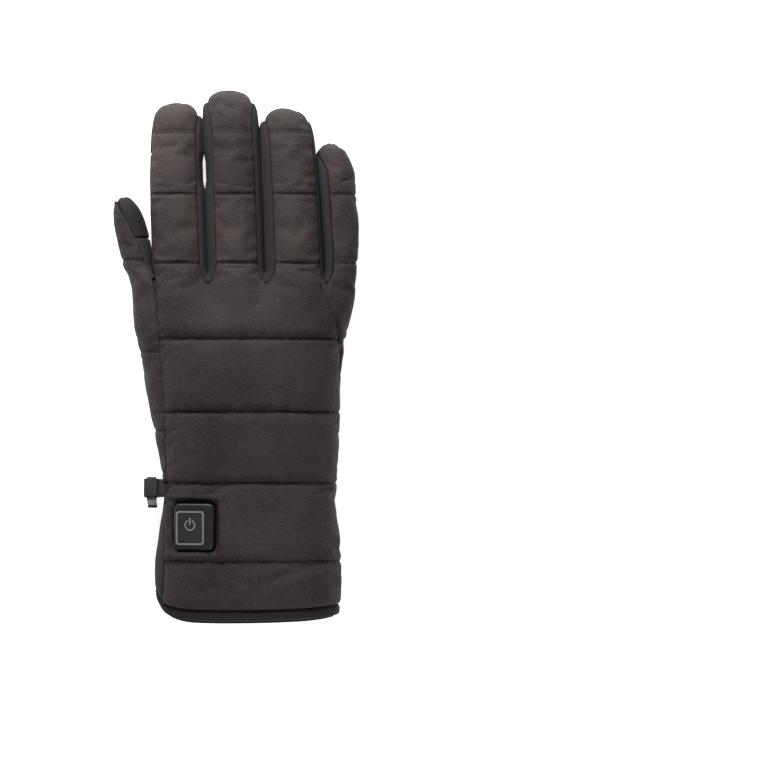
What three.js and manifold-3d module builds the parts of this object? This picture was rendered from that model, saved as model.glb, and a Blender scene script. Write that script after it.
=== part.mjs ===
// A heated glove for the right hand, lying palm down.
// Millimetres, +Z up, +Y to the fingertips, -X on the thumb side.
import * as THREE from 'three';
import Module from 'manifold-3d';
import { mergeVertices } from 'three/addons/utils/BufferGeometryUtils.js';

// Overall sizes
const gloveLength = 282;
const palmWidth = 104;
const palmDepth = 42;
const thumbLength = 226;

// Cloth and padding
const backWall = 2.4;
const quiltRise = 1.6;
const quiltCrease = 4;
const palmWall = 1.8;
const stripWall = 1.5;
const thumbWall = 2.2;
const cuffWall = 2;
const gussetWall = 2.2;
const seamGap = 0.55;
const gatherRise = 0.7;

// Fingers
const fingerCap = 12.7;
const fingerTipFlat = 0.15;
const thumbCap = 9;
const webRise = 1.2;
const crotchBow = 1.8;
const cuffWeb = 0.03;

// Gusset at the little-finger side of the cuff
const gussetStart = 1.6;
const gussetWidth = 8.5;
const gussetDepth = 8;

// Hem band
const hemWidth = 5.6;
const hemWall = 3;
const hemProud = 0.5;

// Battery pocket zip
const zipLength = 70;
const zipWidth = 8.7;
const zipEdge = 23;
const tapeWall = 0.8;
const tapeLap = 2.2;
const tapeGap = 0.5;
const toothPitch = 1.45;
const toothRise = 1.2;
const chainWidth = 5;
const chainGap = 0.3;
const sliderLength = 9.2;
const sliderWidth = 7.4;
const sliderDepth = 1.8;
const sliderProud = 0.4;
const sliderCorner = 1.6;
const sliderInset = 0.5;

// Zip puller and the bridge that holds it, in the puller's own direction
const bridgeSpan = 4.4;
const bridgeWidth = 1.2;
const bridgeFoot = 0.8;
const bridgeClear = 1.8;
const bridgeDepth = 0.7;
const pullerLength = 12.3;
const pullerWidth = 6.4;
const pullerDepth = 1.1;
const pullerRoot = 4.1;
const pullerEdge = 0.5;
const pullerClear = 0.35;
const pullerEye = 2.9;
const pullerHeading = 51;

// Heating switch
const buttonWidth = 21.7;
const buttonHeight = 24.4;
const buttonDepth = 6.4;
const buttonProud = 2.8;
const buttonCorner = 3.2;
const buttonGap = 0.9;
const frameWidth = 15.4;
const frameHeight = 17.8;
const frameLine = 0.9;
const frameShiftX = -2;
const frameShiftY = -0.6;
const printRise = 0.25;
const printGap = 0.1;
const symbolRadius = 2.6;
const symbolLine = 0.75;
const symbolOpening = 50;
const symbolLift = 1.5;
const symbolBar = 3.9;
const cornerSegments = 2;
const ringSegments = 14;

// Wrist strap and buckle
const webbingWidth = 9.5;
const webbingWall = 1.2;
const strapReach = 6.3;
const buckleDepth = 5;
const buckleLength = 20;
const buckleBar = 2;
const buckleSlot = 2.6;
const buckleSide = 1.3;
const buckleBody = 9.4;
const buckleClear = 0.35;
const prongWidth = 1.7;
const prongBarb = 1.1;
const guideWidth = 2.8;
const guideShort = 3.4;
const buckleStandoff = 6.9;
const buckleTilt = -15;

// Places across the glove, as shares of the palm width and depth
const buttonAcross = -0.273;
const buckleHigh = 0.498;

// Places along the glove, as shares of its length from the hem to the middle fingertip
const buttonAt = 0.181;
const buckleAt = 0.2518;
const crotchAt = 0.661;
const webAt = 0.635;
const blendEnd = 0.545;
const thumbCrotchAt = 0.6;
const thumbTopAt = 0.649;
const thumbBlendEnd = 0.52;
const wristAt = 0.262;
const gatherAt = 0.3;
const gatherReach = 0.045;
const patchAt = 0.88;
const thumbPatchAt = 0.479;
const quiltLines = [0.921, 0.803, 0.674, 0.531, 0.395, 0.262, 0.1165];
const thumbQuiltLines = [0.508, 0.361];
const thumbTipLine = 0.203;

// The hand and cuff all round: sides as shares of the palm width, heights as shares of the palm depth
const handTable = [
  { at: 0.673, left: -0.495, right: 0.535, middle: 0.52, top: 0.84, bottom: 0.22 },
  { at: 0.6, left: -0.61, right: 0.515, middle: 0.42, top: 0.93, bottom: 0.1 },
  { at: 0.52, left: -0.563, right: 0.474, middle: 0.4, top: 0.975, bottom: 0.03 },
  { at: 0.417, left: -0.515, right: 0.451, middle: 0.39, top: 1, bottom: -0.02 },
  { at: 0.342, left: -0.474, right: 0.449, middle: 0.39, top: 0.99, bottom: -0.02 },
  { at: 0.267, left: -0.438, right: 0.438, middle: 0.4, top: 0.95, bottom: 0.03 },
  { at: 0.222, left: -0.441, right: 0.431, middle: 0.43, top: 0.97, bottom: 0.075 },
  { at: 0.177, left: -0.466, right: 0.449, middle: 0.45, top: 1.01, bottom: 0.085 },
  { at: 0.102, left: -0.492, right: 0.459, middle: 0.47, top: 1.04, bottom: 0.085 },
  { at: 0.055, left: -0.482, right: 0.461, middle: 0.47, top: 1.03, bottom: 0.078 },
  { at: 0.0, left: -0.46, right: 0.452, middle: 0.47, top: 1.02, bottom: -0.02 },
];

// Seams along the hand, as shares of the palm width
const seamTable = [
  { at: 0.673, thumbTop: -0.489, little: 0.45 },
  { at: 0.6, thumbTop: -0.464, little: 0.485 },
  { at: 0.53, thumbTop: -0.459, little: 0.45 },
  { at: 0.4, thumbTop: -0.431, little: 0.425 },
  { at: 0.267, thumbTop: -0.423, little: 0.408 },
  { at: 0.19, thumbTop: -0.428, little: 0.425 },
  { at: 0.1, thumbTop: -0.43, little: 0.438 },
  { at: 0.0, thumbTop: -0.452, little: 0.434 },
];
const thumbSeamTable = [
  { at: 0.6, below: -0.367 },
  { at: 0.492, below: -0.316 },
  { at: 0.417, below: -0.245 },
  { at: 0.344, below: -0.183 },
  { at: 0.263, below: -0.163 },
];

// Edge of the mouth: height as a share of the glove length,
// round the hand in degrees from the little-finger side
const hemTable = [
  { angle: -60, rise: 0.03 },
  { angle: 0, rise: 0.035 },
  { angle: 60, rise: 0.027 },
  { angle: 110, rise: 0.024 },
  { angle: 140, rise: 0.03 },
  { angle: 165, rise: 0.056 },
  { angle: 180, rise: 0.071 },
  { angle: 200, rise: 0.077 },
  { angle: 230, rise: 0.068 },
  { angle: 255, rise: 0.049 },
  { angle: 280, rise: 0.028 },
  { angle: 310, rise: 0.03 },
];

// Fingers from the little finger: sideways places and widths as shares of the palm width,
// heights and depths as shares of the palm depth, seams in degrees round the finger
const fingers = [
  { name: 'little', tip: 0.9, baseX: 0.452, tipX: 0.406, bowX: 0.014, baseW: 0.172, tipW: 0.186,
    bowW: 0.02, baseZ: 0.42, tipZ: 0.26, bowZ: 0, depth: 0.5, lean: 0.3,
    backFrom: -68, backTo: 125, palmFrom: 217, palmTo: 292,
    cuffTo: 0.33, palmLeft: 0.24 },
  { name: 'ring', tip: 0.966, baseX: 0.224, tipX: 0.172, bowX: 0.006, baseW: 0.29, tipW: 0.258,
    bowW: 0.008, baseZ: 0.53, tipZ: 0.28, bowZ: 0.02, depth: 0.54, lean: 0.12,
    backFrom: 28, backTo: 134, palmFrom: 217, palmTo: 323,
    cuffTo: 0.143, palmLeft: 0.092, palmRight: 0.214 },
  { name: 'middle', tip: 1.001, baseX: -0.07, tipX: -0.112, bowX: 0.004, baseW: 0.285, tipW: 0.274,
    bowW: 0.004, baseZ: 0.53, tipZ: 0.28, bowZ: 0.02, depth: 0.55, lean: 0,
    backFrom: 38, backTo: 133, palmFrom: 217, palmTo: 323,
    cuffTo: -0.071, palmLeft: -0.051, palmRight: 0.061 },
  { name: 'index', tip: 0.977, baseX: -0.355, tipX: -0.372, bowX: -0.01, baseW: 0.275, tipW: 0.255,
    bowW: 0.012, baseZ: 0.54, tipZ: 0.28, bowZ: 0.02, depth: 0.54, lean: 0,
    backFrom: 42, backTo: 159, palmFrom: 159, palmTo: 323,
    palmRight: -0.082 },
];

// Thumb, at shares of its free length from the crotch: centre and width as shares of the palm width,
// heights as shares of the palm depth, seams of the quilted outside in degrees round the thumb
const thumbTable = [
  { at: 1.01, x: -0.637, width: 0.13, z: 0.34, depth: 0.5, top: 150, bottom: 262 },
  { at: 0.748, x: -0.612, width: 0.162, z: 0.34, depth: 0.54, top: 112, bottom: 282 },
  { at: 0.466, x: -0.59, width: 0.168, z: 0.335, depth: 0.54, top: 85, bottom: 322 },
  { at: 0.203, x: -0.572, width: 0.16, z: 0.33, depth: 0.53, top: 64, bottom: 345 },
  { at: -0.059, x: -0.563, width: 0.155, z: 0.33, depth: 0.56, top: 50, bottom: 345 },
  { at: -0.321, x: -0.55, width: 0.17, z: 0.33, depth: 0.56, top: 50, bottom: 330 },
];

// Rows round a fingertip: the turn over the tip in degrees, and how far the side strips have opened
const capRows = [
  { turn: 0, open: 0 },
  { turn: 32, open: 0 },
  { turn: 60, open: 0.3 },
  { turn: 90, open: 1 },
];
const fingerRows = [0.888, 0.868, 0.834, 0.819, 0.803, 0.787, 0.74, 0.69, 0.674];
const thumbRows = [0.63, 0.479, 0.335, 0.203, 0.105];
const handRows = [
  0.6, 0.567, 0.546, 0.531, 0.516, 0.486, 0.455, 0.41, 0.395, 0.38, 0.361, 0.34, 0.305, 0.28, 0.262,
];
const cuffRow = 0.245;

// Shape of the sections
const sectionRound = 0.82;
const sectionFlat = 0.74;
const fingerRound = 0.92;

const degrees = Math.PI / 180;
const colours = {
  twill: 0x46403f,
  softshell: 0x3a3134,
  strip: 0x332d30,
  patch: 0x2f2624,
  binding: 0x332c32,
  rubber: 0x2e2c2c,
  print: 0x7f7d7c,
  webbing: 0x1f1c1b,
  plastic: 0x3b3b3b,
  zip: 0x1d1b1b,
};

const glove = new THREE.Group();

function addPart(name, geometry, colour, roughness = 0.9, metalness = 0) {
  const material = new THREE.MeshStandardMaterial({ color: colour, roughness, metalness });
  const mesh = new THREE.Mesh(geometry, material);
  mesh.name = name;
  glove.add(mesh);
  return mesh;
}

// Small numbers
const mix = (a, b, share) => a + (b - a) * share;
const clamp01 = (value) => Math.min(1, Math.max(0, value));
const eased = (value) => clamp01(value) ** 2 * (3 - 2 * clamp01(value));
const power = (value, exponent) => Math.sign(value) * Math.abs(value) ** exponent;
const mixPoints = (a, b, share) => a.clone().lerp(b, share);
const steps = (count) => [...Array(count + 1).keys()];

// A value from a table of stations, on a smooth curve through them
function tableValue(table, key, column, at) {
  const last = table.length - 1;
  const falling = table[0][key] > table[last][key] ? -1 : 1;
  const place = (row) => row[key] * falling;
  let first = 0;
  while (first < last - 1 && place(table[first + 1]) < at * falling) {
    first += 1;
  }
  const here = table[first];
  const next = table[first + 1];
  const before = table[Math.max(0, first - 1)];
  const beyond = table[Math.min(last, first + 2)];
  const span = place(next) - place(here);
  const share = clamp01((at * falling - place(here)) / span);
  const slopeHere = ((next[column] - before[column]) / (place(next) - place(before))) * span;
  const slopeNext = ((beyond[column] - here[column]) / (place(beyond) - place(here))) * span;
  const a = 2 * here[column] - 2 * next[column] + slopeHere + slopeNext;
  const b = 3 * next[column] - 3 * here[column] - 2 * slopeHere - slopeNext;
  return ((a * share + b) * share + slopeHere) * share + here[column];
}

const quiltLevels = quiltLines.map((line) => line * gloveLength);

// Padding between the quilting lines, 0 on a line and 1 in the middle
function puffAt(lines, top, end, y) {
  const crossed = lines.filter((line) => line < top - quiltCrease);
  const edges = [top, ...crossed, end];
  const below = edges.findIndex((edge) => edge < y);
  if (below < 1) {
    return 0;
  }
  const share = (edges[below - 1] - y) / (edges[below - 1] - edges[below]);
  return 1 - Math.abs(2 * share - 1) ** 3;
}

// The closed section of the hand at a height y
function handSection(y) {
  const at = y / gloveLength;
  const left = tableValue(handTable, 'at', 'left', at) * palmWidth;
  const right = tableValue(handTable, 'at', 'right', at) * palmWidth;
  const middle = tableValue(handTable, 'at', 'middle', at) * palmDepth;
  return {
    x: (left + right) / 2,
    half: (right - left) / 2,
    middle,
    rise: tableValue(handTable, 'at', 'top', at) * palmDepth - middle,
    drop: middle - tableValue(handTable, 'at', 'bottom', at) * palmDepth,
  };
}

// The cloth is flattened where the glove lies on it
function pressed(z, inset) {
  return Math.max(z, inset, 0);
}

function handPoint(y, angle, inset) {
  const section = handSection(y);
  const across = Math.cos(angle * degrees);
  const up = Math.sin(angle * degrees);
  const height = up > 0 ? section.rise : section.drop;
  const round = up > 0 ? sectionRound : sectionFlat;
  return new THREE.Vector3(
    section.x + (section.half - inset) * power(across, sectionRound),
    y,
    pressed(section.middle + (height - inset) * power(up, round), inset),
  );
}

// The angle round the hand of a place x on its upper or lower side
function handAngle(y, x, below) {
  const section = handSection(y);
  const across = THREE.MathUtils.clamp((x - section.x) / section.half, -1, 1);
  const angle = Math.acos(power(across, 1 / sectionRound)) / degrees;
  return below ? 360 - angle : angle;
}

// A point on a finger: rows on the shaft hold y, rows over the tip hold their turn
function fingerPoint(finger, row, angle, inset) {
  const tipY = finger.tip * gloveLength;
  const baseY = crotchAt * gloveLength;
  const cap = fingerCap - inset;
  const turn = row.turn === undefined ? 90 : row.turn;
  const y = row.turn === undefined ? row.y : tipY - inset - cap * (1 - Math.cos(turn * degrees));
  const share = clamp01((y - baseY) / (tipY - baseY));
  const bow = 4 * share * (1 - share);
  const wide = (mix(finger.baseW, finger.tipW, share) + finger.bowW * bow) * palmWidth;
  const closing = Math.sin(turn * degrees);
  const half = (wide / 2 - inset) * mix(fingerTipFlat, 1, closing);
  const height = ((finger.depth * palmDepth) / 2 - inset) * closing;
  const z = height * power(Math.sin(angle * degrees), fingerRound);
  return new THREE.Vector3(
    (mix(finger.baseX, finger.tipX, share) + finger.bowX * bow) * palmWidth
      + half * power(Math.cos(angle * degrees), fingerRound) + finger.lean * z,
    y,
    (mix(finger.baseZ, finger.tipZ, share) + finger.bowZ * bow) * palmDepth + z,
  );
}

// A seam angle closes on the finger's side over the tip
function openAngle(angle, open) {
  const side = Math.round(angle / 180) * 180;
  return mix(side, angle, open);
}

function rowsOf(finger) {
  const top = finger.tip * gloveLength - fingerCap - quiltCrease / 2;
  const shaft = fingerRows.map((share) => share * gloveLength).filter((y) => y < top);
  return [...capRows, ...shaft.map((y) => ({ y, open: 1 }))];
}

// A net is the plan of one sheet of cloth. Each corner has an outer and an inner point,
// and each cell names its corners counterclockwise as seen from outside, a tip's corner twice.
function makeNet() {
  return { numbers: new Map(), outer: [], inner: [], cells: [] };
}

function addCorner(net, name, outer, inner) {
  if (!net.numbers.has(name)) {
    net.numbers.set(name, net.outer.length);
    net.outer.push(outer);
    net.inner.push(inner);
  }
  return net.numbers.get(name);
}

// Rows run towards the hem, and columns run round the hand from the little-finger side over the back
function addCells(net, rows, keep = () => true) {
  for (let r = 0; r < rows.length - 1; r += 1) {
    for (let c = 0; c < rows[r].length - 1; c += 1) {
      if (keep(r, c)) {
        net.cells.push([rows[r][c], rows[r][c + 1], rows[r + 1][c + 1], rows[r + 1][c]]);
      }
    }
  }
}

function openEdges(net) {
  const edges = new Map();
  for (const cell of net.cells) {
    cell.forEach((from, i) => {
      const to = cell[(i + 1) % cell.length];
      if (to !== from && !edges.delete(`${to} ${from}`)) {
        edges.set(`${from} ${to}`, { from, to, cell });
      }
    });
  }
  return [...edges.values()];
}

// Each open edge moves in by half the seam gap, so that neighbours along a seam stay clear
function trimNet(net, edges) {
  const moves = net.outer.map(() => []);
  for (const { from, to, cell } of edges) {
    const along = net.outer[to].clone().sub(net.outer[from]).normalize();
    const corners = cell.map((number) => net.outer[number]);
    const diagonal = corners[2].clone().sub(corners[0]);
    const normal = diagonal.cross(corners[3].clone().sub(corners[1])).normalize();
    const inward = normal.cross(along).normalize();
    moves[from].push(inward);
    moves[to].push(inward);
  }
  moves.forEach((list, number) => {
    if (list.length > 0) {
      const total = list.reduce((sum, move) => sum.add(move), new THREE.Vector3());
      const shift = total.normalize().multiplyScalar(seamGap / 2);
      net.outer[number].add(shift);
      net.inner[number].add(shift);
    }
  });
}

// The closed body of a net: outer face, inner face and a wall along every open edge
function netGeometry(net, trimmed = true) {
  const edges = openEdges(net);
  if (trimmed) {
    trimNet(net, edges);
  }
  const count = net.outer.length;
  const triangles = [];
  for (const cell of net.cells) {
    const [a, ...others] = [...new Set(cell)];
    for (let i = 1; i < others.length; i += 1) {
      const [b, c] = [others[i - 1], others[i]];
      triangles.push(a, b, c, a + count, c + count, b + count);
    }
  }
  for (const { from, to } of edges) {
    triangles.push(to, from, from + count, to, from + count, to + count);
  }
  const geometry = new THREE.BufferGeometry();
  const places = [...net.outer, ...net.inner].flatMap((point) => point.toArray());
  geometry.setAttribute('position', new THREE.Float32BufferAttribute(places, 3));
  geometry.setIndex(triangles);
  return mergeVertices(geometry, 1e-4);
}

// Columns of a panel round the hand: each finger has its own, and the webs between have theirs
function makeColumns(spansOf, betweenSegments, order) {
  const columns = [];
  order.forEach((finger, place) => {
    const spans = spansOf(finger);
    for (let i = 0; i <= spans; i += 1) {
      columns.push({ finger, share: i / spans });
    }
    const next = order[place + 1];
    for (let i = 1; next && i < betweenSegments; i += 1) {
      columns.push({ web: [finger, next], share: i / betweenSegments });
    }
  });
  return columns;
}

// Quilted back
const backSegments = 5;
const webSegments = 3;
const backColumns = makeColumns(() => backSegments, webSegments, fingers);
const buttonX = buttonAcross * palmWidth;
const buttonY = buttonAt * gloveLength;
const buttonRight = buttonX + buttonWidth / 2 + buttonGap;
const buttonLeft = buttonX - buttonWidth / 2 - buttonGap;
const buttonTop = buttonY + buttonHeight / 2 + buttonGap;
const buttonBottom = buttonY - buttonHeight / 2 - buttonGap;

function seamX(name, y) {
  return tableValue(seamTable, 'at', name, y / gloveLength) * palmWidth;
}

// Sideways place of a back column at the cuff and at the finger crotches
function backPlace(finger, share) {
  if (finger.name === 'index') {
    return mix(buttonRight, buttonLeft, (share * backSegments) / (backSegments - 1));
  }
  const next = fingers[fingers.indexOf(finger) - 1];
  return mix((next.cuffTo - cuffWeb) * palmWidth, finger.cuffTo * palmWidth, share);
}

function webEdges(web, y, inset) {
  const [right, left] = web;
  const row = { y };
  return [
    fingerPoint(right, row, right.backTo, inset),
    fingerPoint(left, row, left.backFrom, inset),
  ];
}

function backColumnBase(column, y, inset) {
  if (column.finger) {
    const angle = mix(column.finger.backFrom, column.finger.backTo, column.share);
    return fingerPoint(column.finger, { y }, angle, inset);
  }
  const [from, to] = webEdges(column.web, y, inset);
  const point = mixPoints(from, to, column.share);
  point.z += webRise;
  return point;
}

function backHandAngle(column, y) {
  const crotchY = crotchAt * gloveLength;
  const share = clamp01((crotchY - y) / (crotchY - buttonTop));
  const right = handAngle(y, seamX('little', y), true) - 360;
  const left = handAngle(y, seamX('thumbTop', y), false);
  const angleOf = (finger, part) => {
    const atCrotch = fingerPoint(finger, { y: crotchY }, mix(finger.backFrom, finger.backTo, part), 0).x;
    if (finger.name === 'little') {
      const end = fingerPoint(finger, { y: crotchY }, finger.backTo, 0).x;
      return mix(right, handAngle(y, mix(end, finger.cuffTo * palmWidth, share), false), part);
    }
    return handAngle(y, mix(atCrotch, backPlace(finger, part), share), false);
  };
  if (column.web) {
    return mix(angleOf(column.web[0], 1), angleOf(column.web[1], 0), column.share);
  }
  if (column.finger.name === 'index' && column.share === 1) {
    return left;
  }
  return angleOf(column.finger, column.share);
}

function backPoint(column, y, inset) {
  const weight = eased((crotchAt * gloveLength - y) / ((crotchAt - blendEnd) * gloveLength));
  const base = backColumnBase(column, y, inset);
  return mixPoints(base, handPoint(y, backHandAngle(column, y), inset), weight);
}

// The first level row below the crotches climbs to the thumb's crotch at the index side
function backForkY(column) {
  const level = handRows[0] * gloveLength;
  return column.finger?.name === 'index' ? mix(level, thumbTopAt * gloveLength, column.share ** 2) : level;
}

function hemY(angle) {
  const turned = angle > hemTable.at(-1).angle ? angle - 360 : angle;
  return tableValue(hemTable, 'angle', 'rise', turned) * gloveLength;
}

const buttonRows = [buttonTop, buttonY, buttonBottom];
const levelRows = [...handRows, cuffRow].map((share) => share * gloveLength);
const lastQuilt = quiltLevels.at(-1);
const windowBottom = lastQuilt - zipWidth;
const zipRise = lastQuilt - zipWidth / 2;
const mouthRows = [0.5, 1];

// Height of a corner in the rows that slope down to the mouth
function mouthY(angleAtQuilt, share) {
  return mix(windowBottom, hemY(angleAtQuilt), share);
}

function addBackPanel() {
  const net = makeNet();
  const edgeOf = (c) => c === 0 || c === backColumns.length - 1;
  const puff = (y, top, edge) => (edge ? 0 : quiltRise * puffAt(quiltLevels, top, hemY(90), y));
  const corner = (name, c, y) => {
    const outer = backPoint(backColumns[c], y, -puff(y, gloveLength, edgeOf(c)));
    return addCorner(net, name, outer, backPoint(backColumns[c], y, backWall));
  };
  const crotchY = crotchAt * gloveLength;
  const webY = webAt * gloveLength;
  const forkY = backColumns.map((column) => backForkY(column));
  const rows = [
    backColumns.map((column, c) => corner(`crotch${c}`, c, column.web ? webY : crotchY)),
    backColumns.map((column, c) => corner(`half${c}`, c, mix(column.web ? webY : crotchY, forkY[c], 0.5))),
    backColumns.map((column, c) => corner(`fork${c}`, c, forkY[c])),
  ];
  for (const y of [...levelRows.slice(1), ...buttonRows, lastQuilt, windowBottom]) {
    rows.push(backColumns.map((column, c) => corner(`hand${y}.${c}`, c, y)));
  }
  for (const share of mouthRows) {
    rows.push(backColumns.map((column, c) => {
      const y = mouthY(backHandAngle(column, lastQuilt), share);
      return corner(`hem${share}.${c}`, c, y);
    }));
  }
  const holeRow = 2 + levelRows.length;
  const holeColumn = backColumns.findIndex((column) => column.finger?.name === 'index');
  const inHole = (r, c) => r >= holeRow && r < holeRow + buttonRows.length - 1
    && c >= holeColumn && c < holeColumn + backSegments - 1;
  addCells(net, rows, (r, c) => !inHole(r, c));
  for (const finger of fingers) {
    const first = backColumns.findIndex((column) => column.finger === finger);
    const fingerNames = rowsOf(finger).map((row, r) => steps(backSegments).map((i) => {
      const from = openAngle(finger.backFrom, row.open);
      const to = openAngle(finger.backTo, row.open);
      const angle = mix(from, to, i / backSegments);
      const edge = i === 0 || i === backSegments;
      const inner = fingerPoint(finger, row, angle, backWall);
      const flat = fingerPoint(finger, row, angle, 0);
      const lift = row.turn === 0 ? 0 : puff(flat.y, finger.tip * gloveLength, edge);
      return addCorner(net, `${finger.name}${r}.${i}`, fingerPoint(finger, row, angle, -lift), inner);
    }));
    fingerNames.push(rows[0].slice(first, first + backSegments + 1));
    addCells(net, fingerNames);
  }
  addPart('back_panel', netGeometry(net), colours.twill);
}

// Softshell palm, with the three finger sides of the index that face the thumb
const palmOrder = [...fingers].reverse();
const sideSegments = 3;
const palmSegments = { index: 7, middle: 4, ring: 4, little: 3 };
const palmColumns = makeColumns((finger) => palmSegments[finger.name], 1, palmOrder);

function palmHandX(column, y) {
  const finger = column.finger;
  const isIndex = finger.name === 'index';
  const first = isIndex ? sideSegments / palmSegments.index : 0;
  const part = (column.share - first) / (1 - first);
  const crotchY = crotchAt * gloveLength;
  const share = clamp01((crotchY - y) / (crotchY - wristAt * gloveLength));
  const placed = (angle, end) => mix(fingerPoint(finger, { y: crotchY }, angle, 0).x, end * palmWidth, share);
  const left = isIndex
    ? tableValue(thumbSeamTable, 'at', 'below', y / gloveLength) * palmWidth
    : placed(finger.palmFrom, finger.palmLeft);
  const right = finger.name === 'little' ? seamX('little', y) : placed(finger.palmTo, finger.palmRight);
  return mix(left, right, part);
}

function palmPoint(column, y, inset) {
  const weight = eased((crotchAt * gloveLength - y) / ((crotchAt - blendEnd) * gloveLength));
  const finger = column.finger;
  const base = fingerPoint(finger, { y }, mix(finger.palmFrom, finger.palmTo, column.share), inset);
  const onHand = handPoint(y, handAngle(y, palmHandX(column, y), true), inset);
  return mixPoints(base, onHand, weight);
}

// Places in the crotch between the thumb and the index, from the back seam to the palm
function crotchPoint(k, shift) {
  const top = backEdge(thumbTopAt * gloveLength, 0);
  const bottom = palmEdge(thumbCrotchAt * gloveLength, 0);
  const point = mixPoints(top, bottom, k / sideSegments);
  const inside = k > 0 && k < sideSegments;
  point.x += inside ? shift - crotchBow : 0;
  return point;
}

// The cloth at the crotch point k is this far inside it, to the side given
function crotchInner(k, shift, side, wall) {
  const point = crotchPoint(k, shift);
  const edge = k === 0 || k === sideSegments;
  if (edge) {
    point.z += k === 0 ? -wall : wall;
  }
  if (!edge || side > 0) {
    point.x += side * wall;
  }
  return point;
}

function gatherAmount(y) {
  return Math.max(0, 1 - Math.abs(y / gloveLength - gatherAt) / gatherReach);
}

function addPalmPanels() {
  const net = makeNet();
  const patch = makeNet();
  const last = palmColumns.length - 1;
  const crotchY = crotchAt * gloveLength;
  const corner = (c, y, name) => {
    const fold = c > sideSegments && c < last ? gatherRise * gatherAmount(y) * (c % 2 ? 1 : -1) : 0;
    const column = palmColumns[c];
    const outer = palmPoint(column, y, Math.max(0, fold));
    return addCorner(net, name, outer, palmPoint(column, y, palmWall + fold));
  };
  const rows = [palmColumns.map((column, c) => corner(c, crotchY, `crotch${c}`))];
  const forks = palmColumns.map((column, c) => {
    if (c > sideSegments) {
      return corner(c, thumbCrotchAt * gloveLength, `fork${c}`);
    }
    return addCorner(net, `fork${c}`, crotchPoint(c, seamGap / 2), crotchInner(c, seamGap / 2, 1, palmWall));
  });
  const halfway = palmColumns.map((column, c) => {
    if (c > sideSegments) {
      return corner(c, mix(crotchY, thumbCrotchAt * gloveLength, 0.5), `half${c}`);
    }
    const [from, to] = [net.numbers.get(`crotch${c}`), net.numbers.get(`fork${c}`)];
    const between = (points) => mixPoints(points[from], points[to], 0.5);
    return addCorner(net, `half${c}`, between(net.outer), between(net.inner));
  });
  rows.push(halfway, forks);
  addCells(net, rows);
  const handNames = [forks.slice(sideSegments)];
  for (const share of handRows.slice(1)) {
    const y = share * gloveLength;
    const columns = palmColumns.slice(sideSegments);
    handNames.push(columns.map((column, c) => corner(c + sideSegments, y, `hand${y}.${c}`)));
  }
  addCells(net, handNames);
  const patchY = patchAt * gloveLength;
  for (const finger of palmOrder) {
    const spans = palmSegments[finger.name];
    const first = palmColumns.findIndex((column) => column.finger === finger);
    const isIndex = finger.name === 'index';
    const namesOf = (target, list) => list.map((row) => steps(spans).map((i) => {
      const angle = mix(openAngle(finger.palmFrom, row.open), openAngle(finger.palmTo, row.open), i / spans);
      const outer = fingerPoint(finger, row, angle, 0);
      const inner = fingerPoint(finger, row, angle, palmWall);
      return addCorner(target, `${finger.name}${outer.y}.${i}`, outer, inner);
    }));
    const all = rowsOf(finger);
    const upper = all.filter((row) => row.turn !== undefined || row.y > patchY);
    const lower = all.filter((row) => row.turn === undefined && row.y <= patchY);
    if (isIndex) {
      const edge = { y: patchY, open: 1 };
      addCells(patch, namesOf(patch, [...upper, edge]));
      addCells(net, [...namesOf(net, [edge, ...lower]), rows[0].slice(first, first + spans + 1)]);
    } else {
      addCells(net, [...namesOf(net, all), rows[0].slice(first, first + spans + 1)]);
    }
  }
  addPart('palm_panel', netGeometry(net), colours.softshell);
  addPart('index_patch', netGeometry(patch), colours.patch);
}

// A side strip between two fingers goes down one finger, round the crotch and up the other
const stripSegments = 3;

function addSideStrip(right, left) {
  const net = makeNet();
  const name = `strip_${left.name}_${right.name}`;
  const shares = steps(stripSegments).map((k) => k / stripSegments);
  const wallOf = (finger, isRight, tag) => {
    const side = rowsOf(finger).filter((row) => row.open > 0);
    side.push({ y: crotchAt * gloveLength, open: 1 });
    return side.map((row, r) => shares.map((share, k) => {
      const palm = openAngle(isRight ? finger.palmFrom : finger.palmTo - 360, row.open);
      const back = openAngle(isRight ? finger.backTo : finger.backFrom, row.open);
      const angle = mix(palm, back, share);
      const outer = fingerPoint(finger, row, angle, 0);
      return addCorner(net, `${tag}${r}.${k}`, outer, fingerPoint(finger, row, angle, stripWall));
    }));
  };
  const down = wallOf(left, false, 'down');
  const up = wallOf(right, true, 'up').reverse();
  const crotchY = crotchAt * gloveLength;
  const webY = webAt * gloveLength;
  const keel = steps(webSegments).slice(1, -1).reverse().map((part) => {
    const column = backColumns.find((item) => item.web?.[0] === right && item.share === part / webSegments);
    const bottom = (inset) => mixPoints(
      fingerPoint(left, { y: crotchY }, left.palmTo, inset),
      fingerPoint(right, { y: crotchY }, right.palmFrom, inset),
      1 - part / webSegments,
    );
    return shares.map((share, k) => {
      const outer = mixPoints(bottom(0), backPoint(column, webY, 0), share);
      outer.y = mix(crotchY, webY, share ** 3);
      let inner = outer.clone();
      inner.y -= stripWall;
      if (share === 0) {
        inner = bottom(stripWall);
      }
      if (share === 1) {
        outer.z -= seamGap;
        inner = backPoint(column, webY, stripWall);
        inner.z -= seamGap;
      }
      return addCorner(net, `keel${part}.${k}`, outer, inner);
    });
  });
  addCells(net, [...down, ...keel, ...up]);
  addPart(name, netGeometry(net), colours.strip);
}

// Thumb
function thumbY(share) {
  return mix(thumbTopAt * gloveLength, thumbLength, share);
}

function thumbShare(y) {
  const crotchY = thumbTopAt * gloveLength;
  return (y - crotchY) / (thumbLength - crotchY);
}

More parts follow.
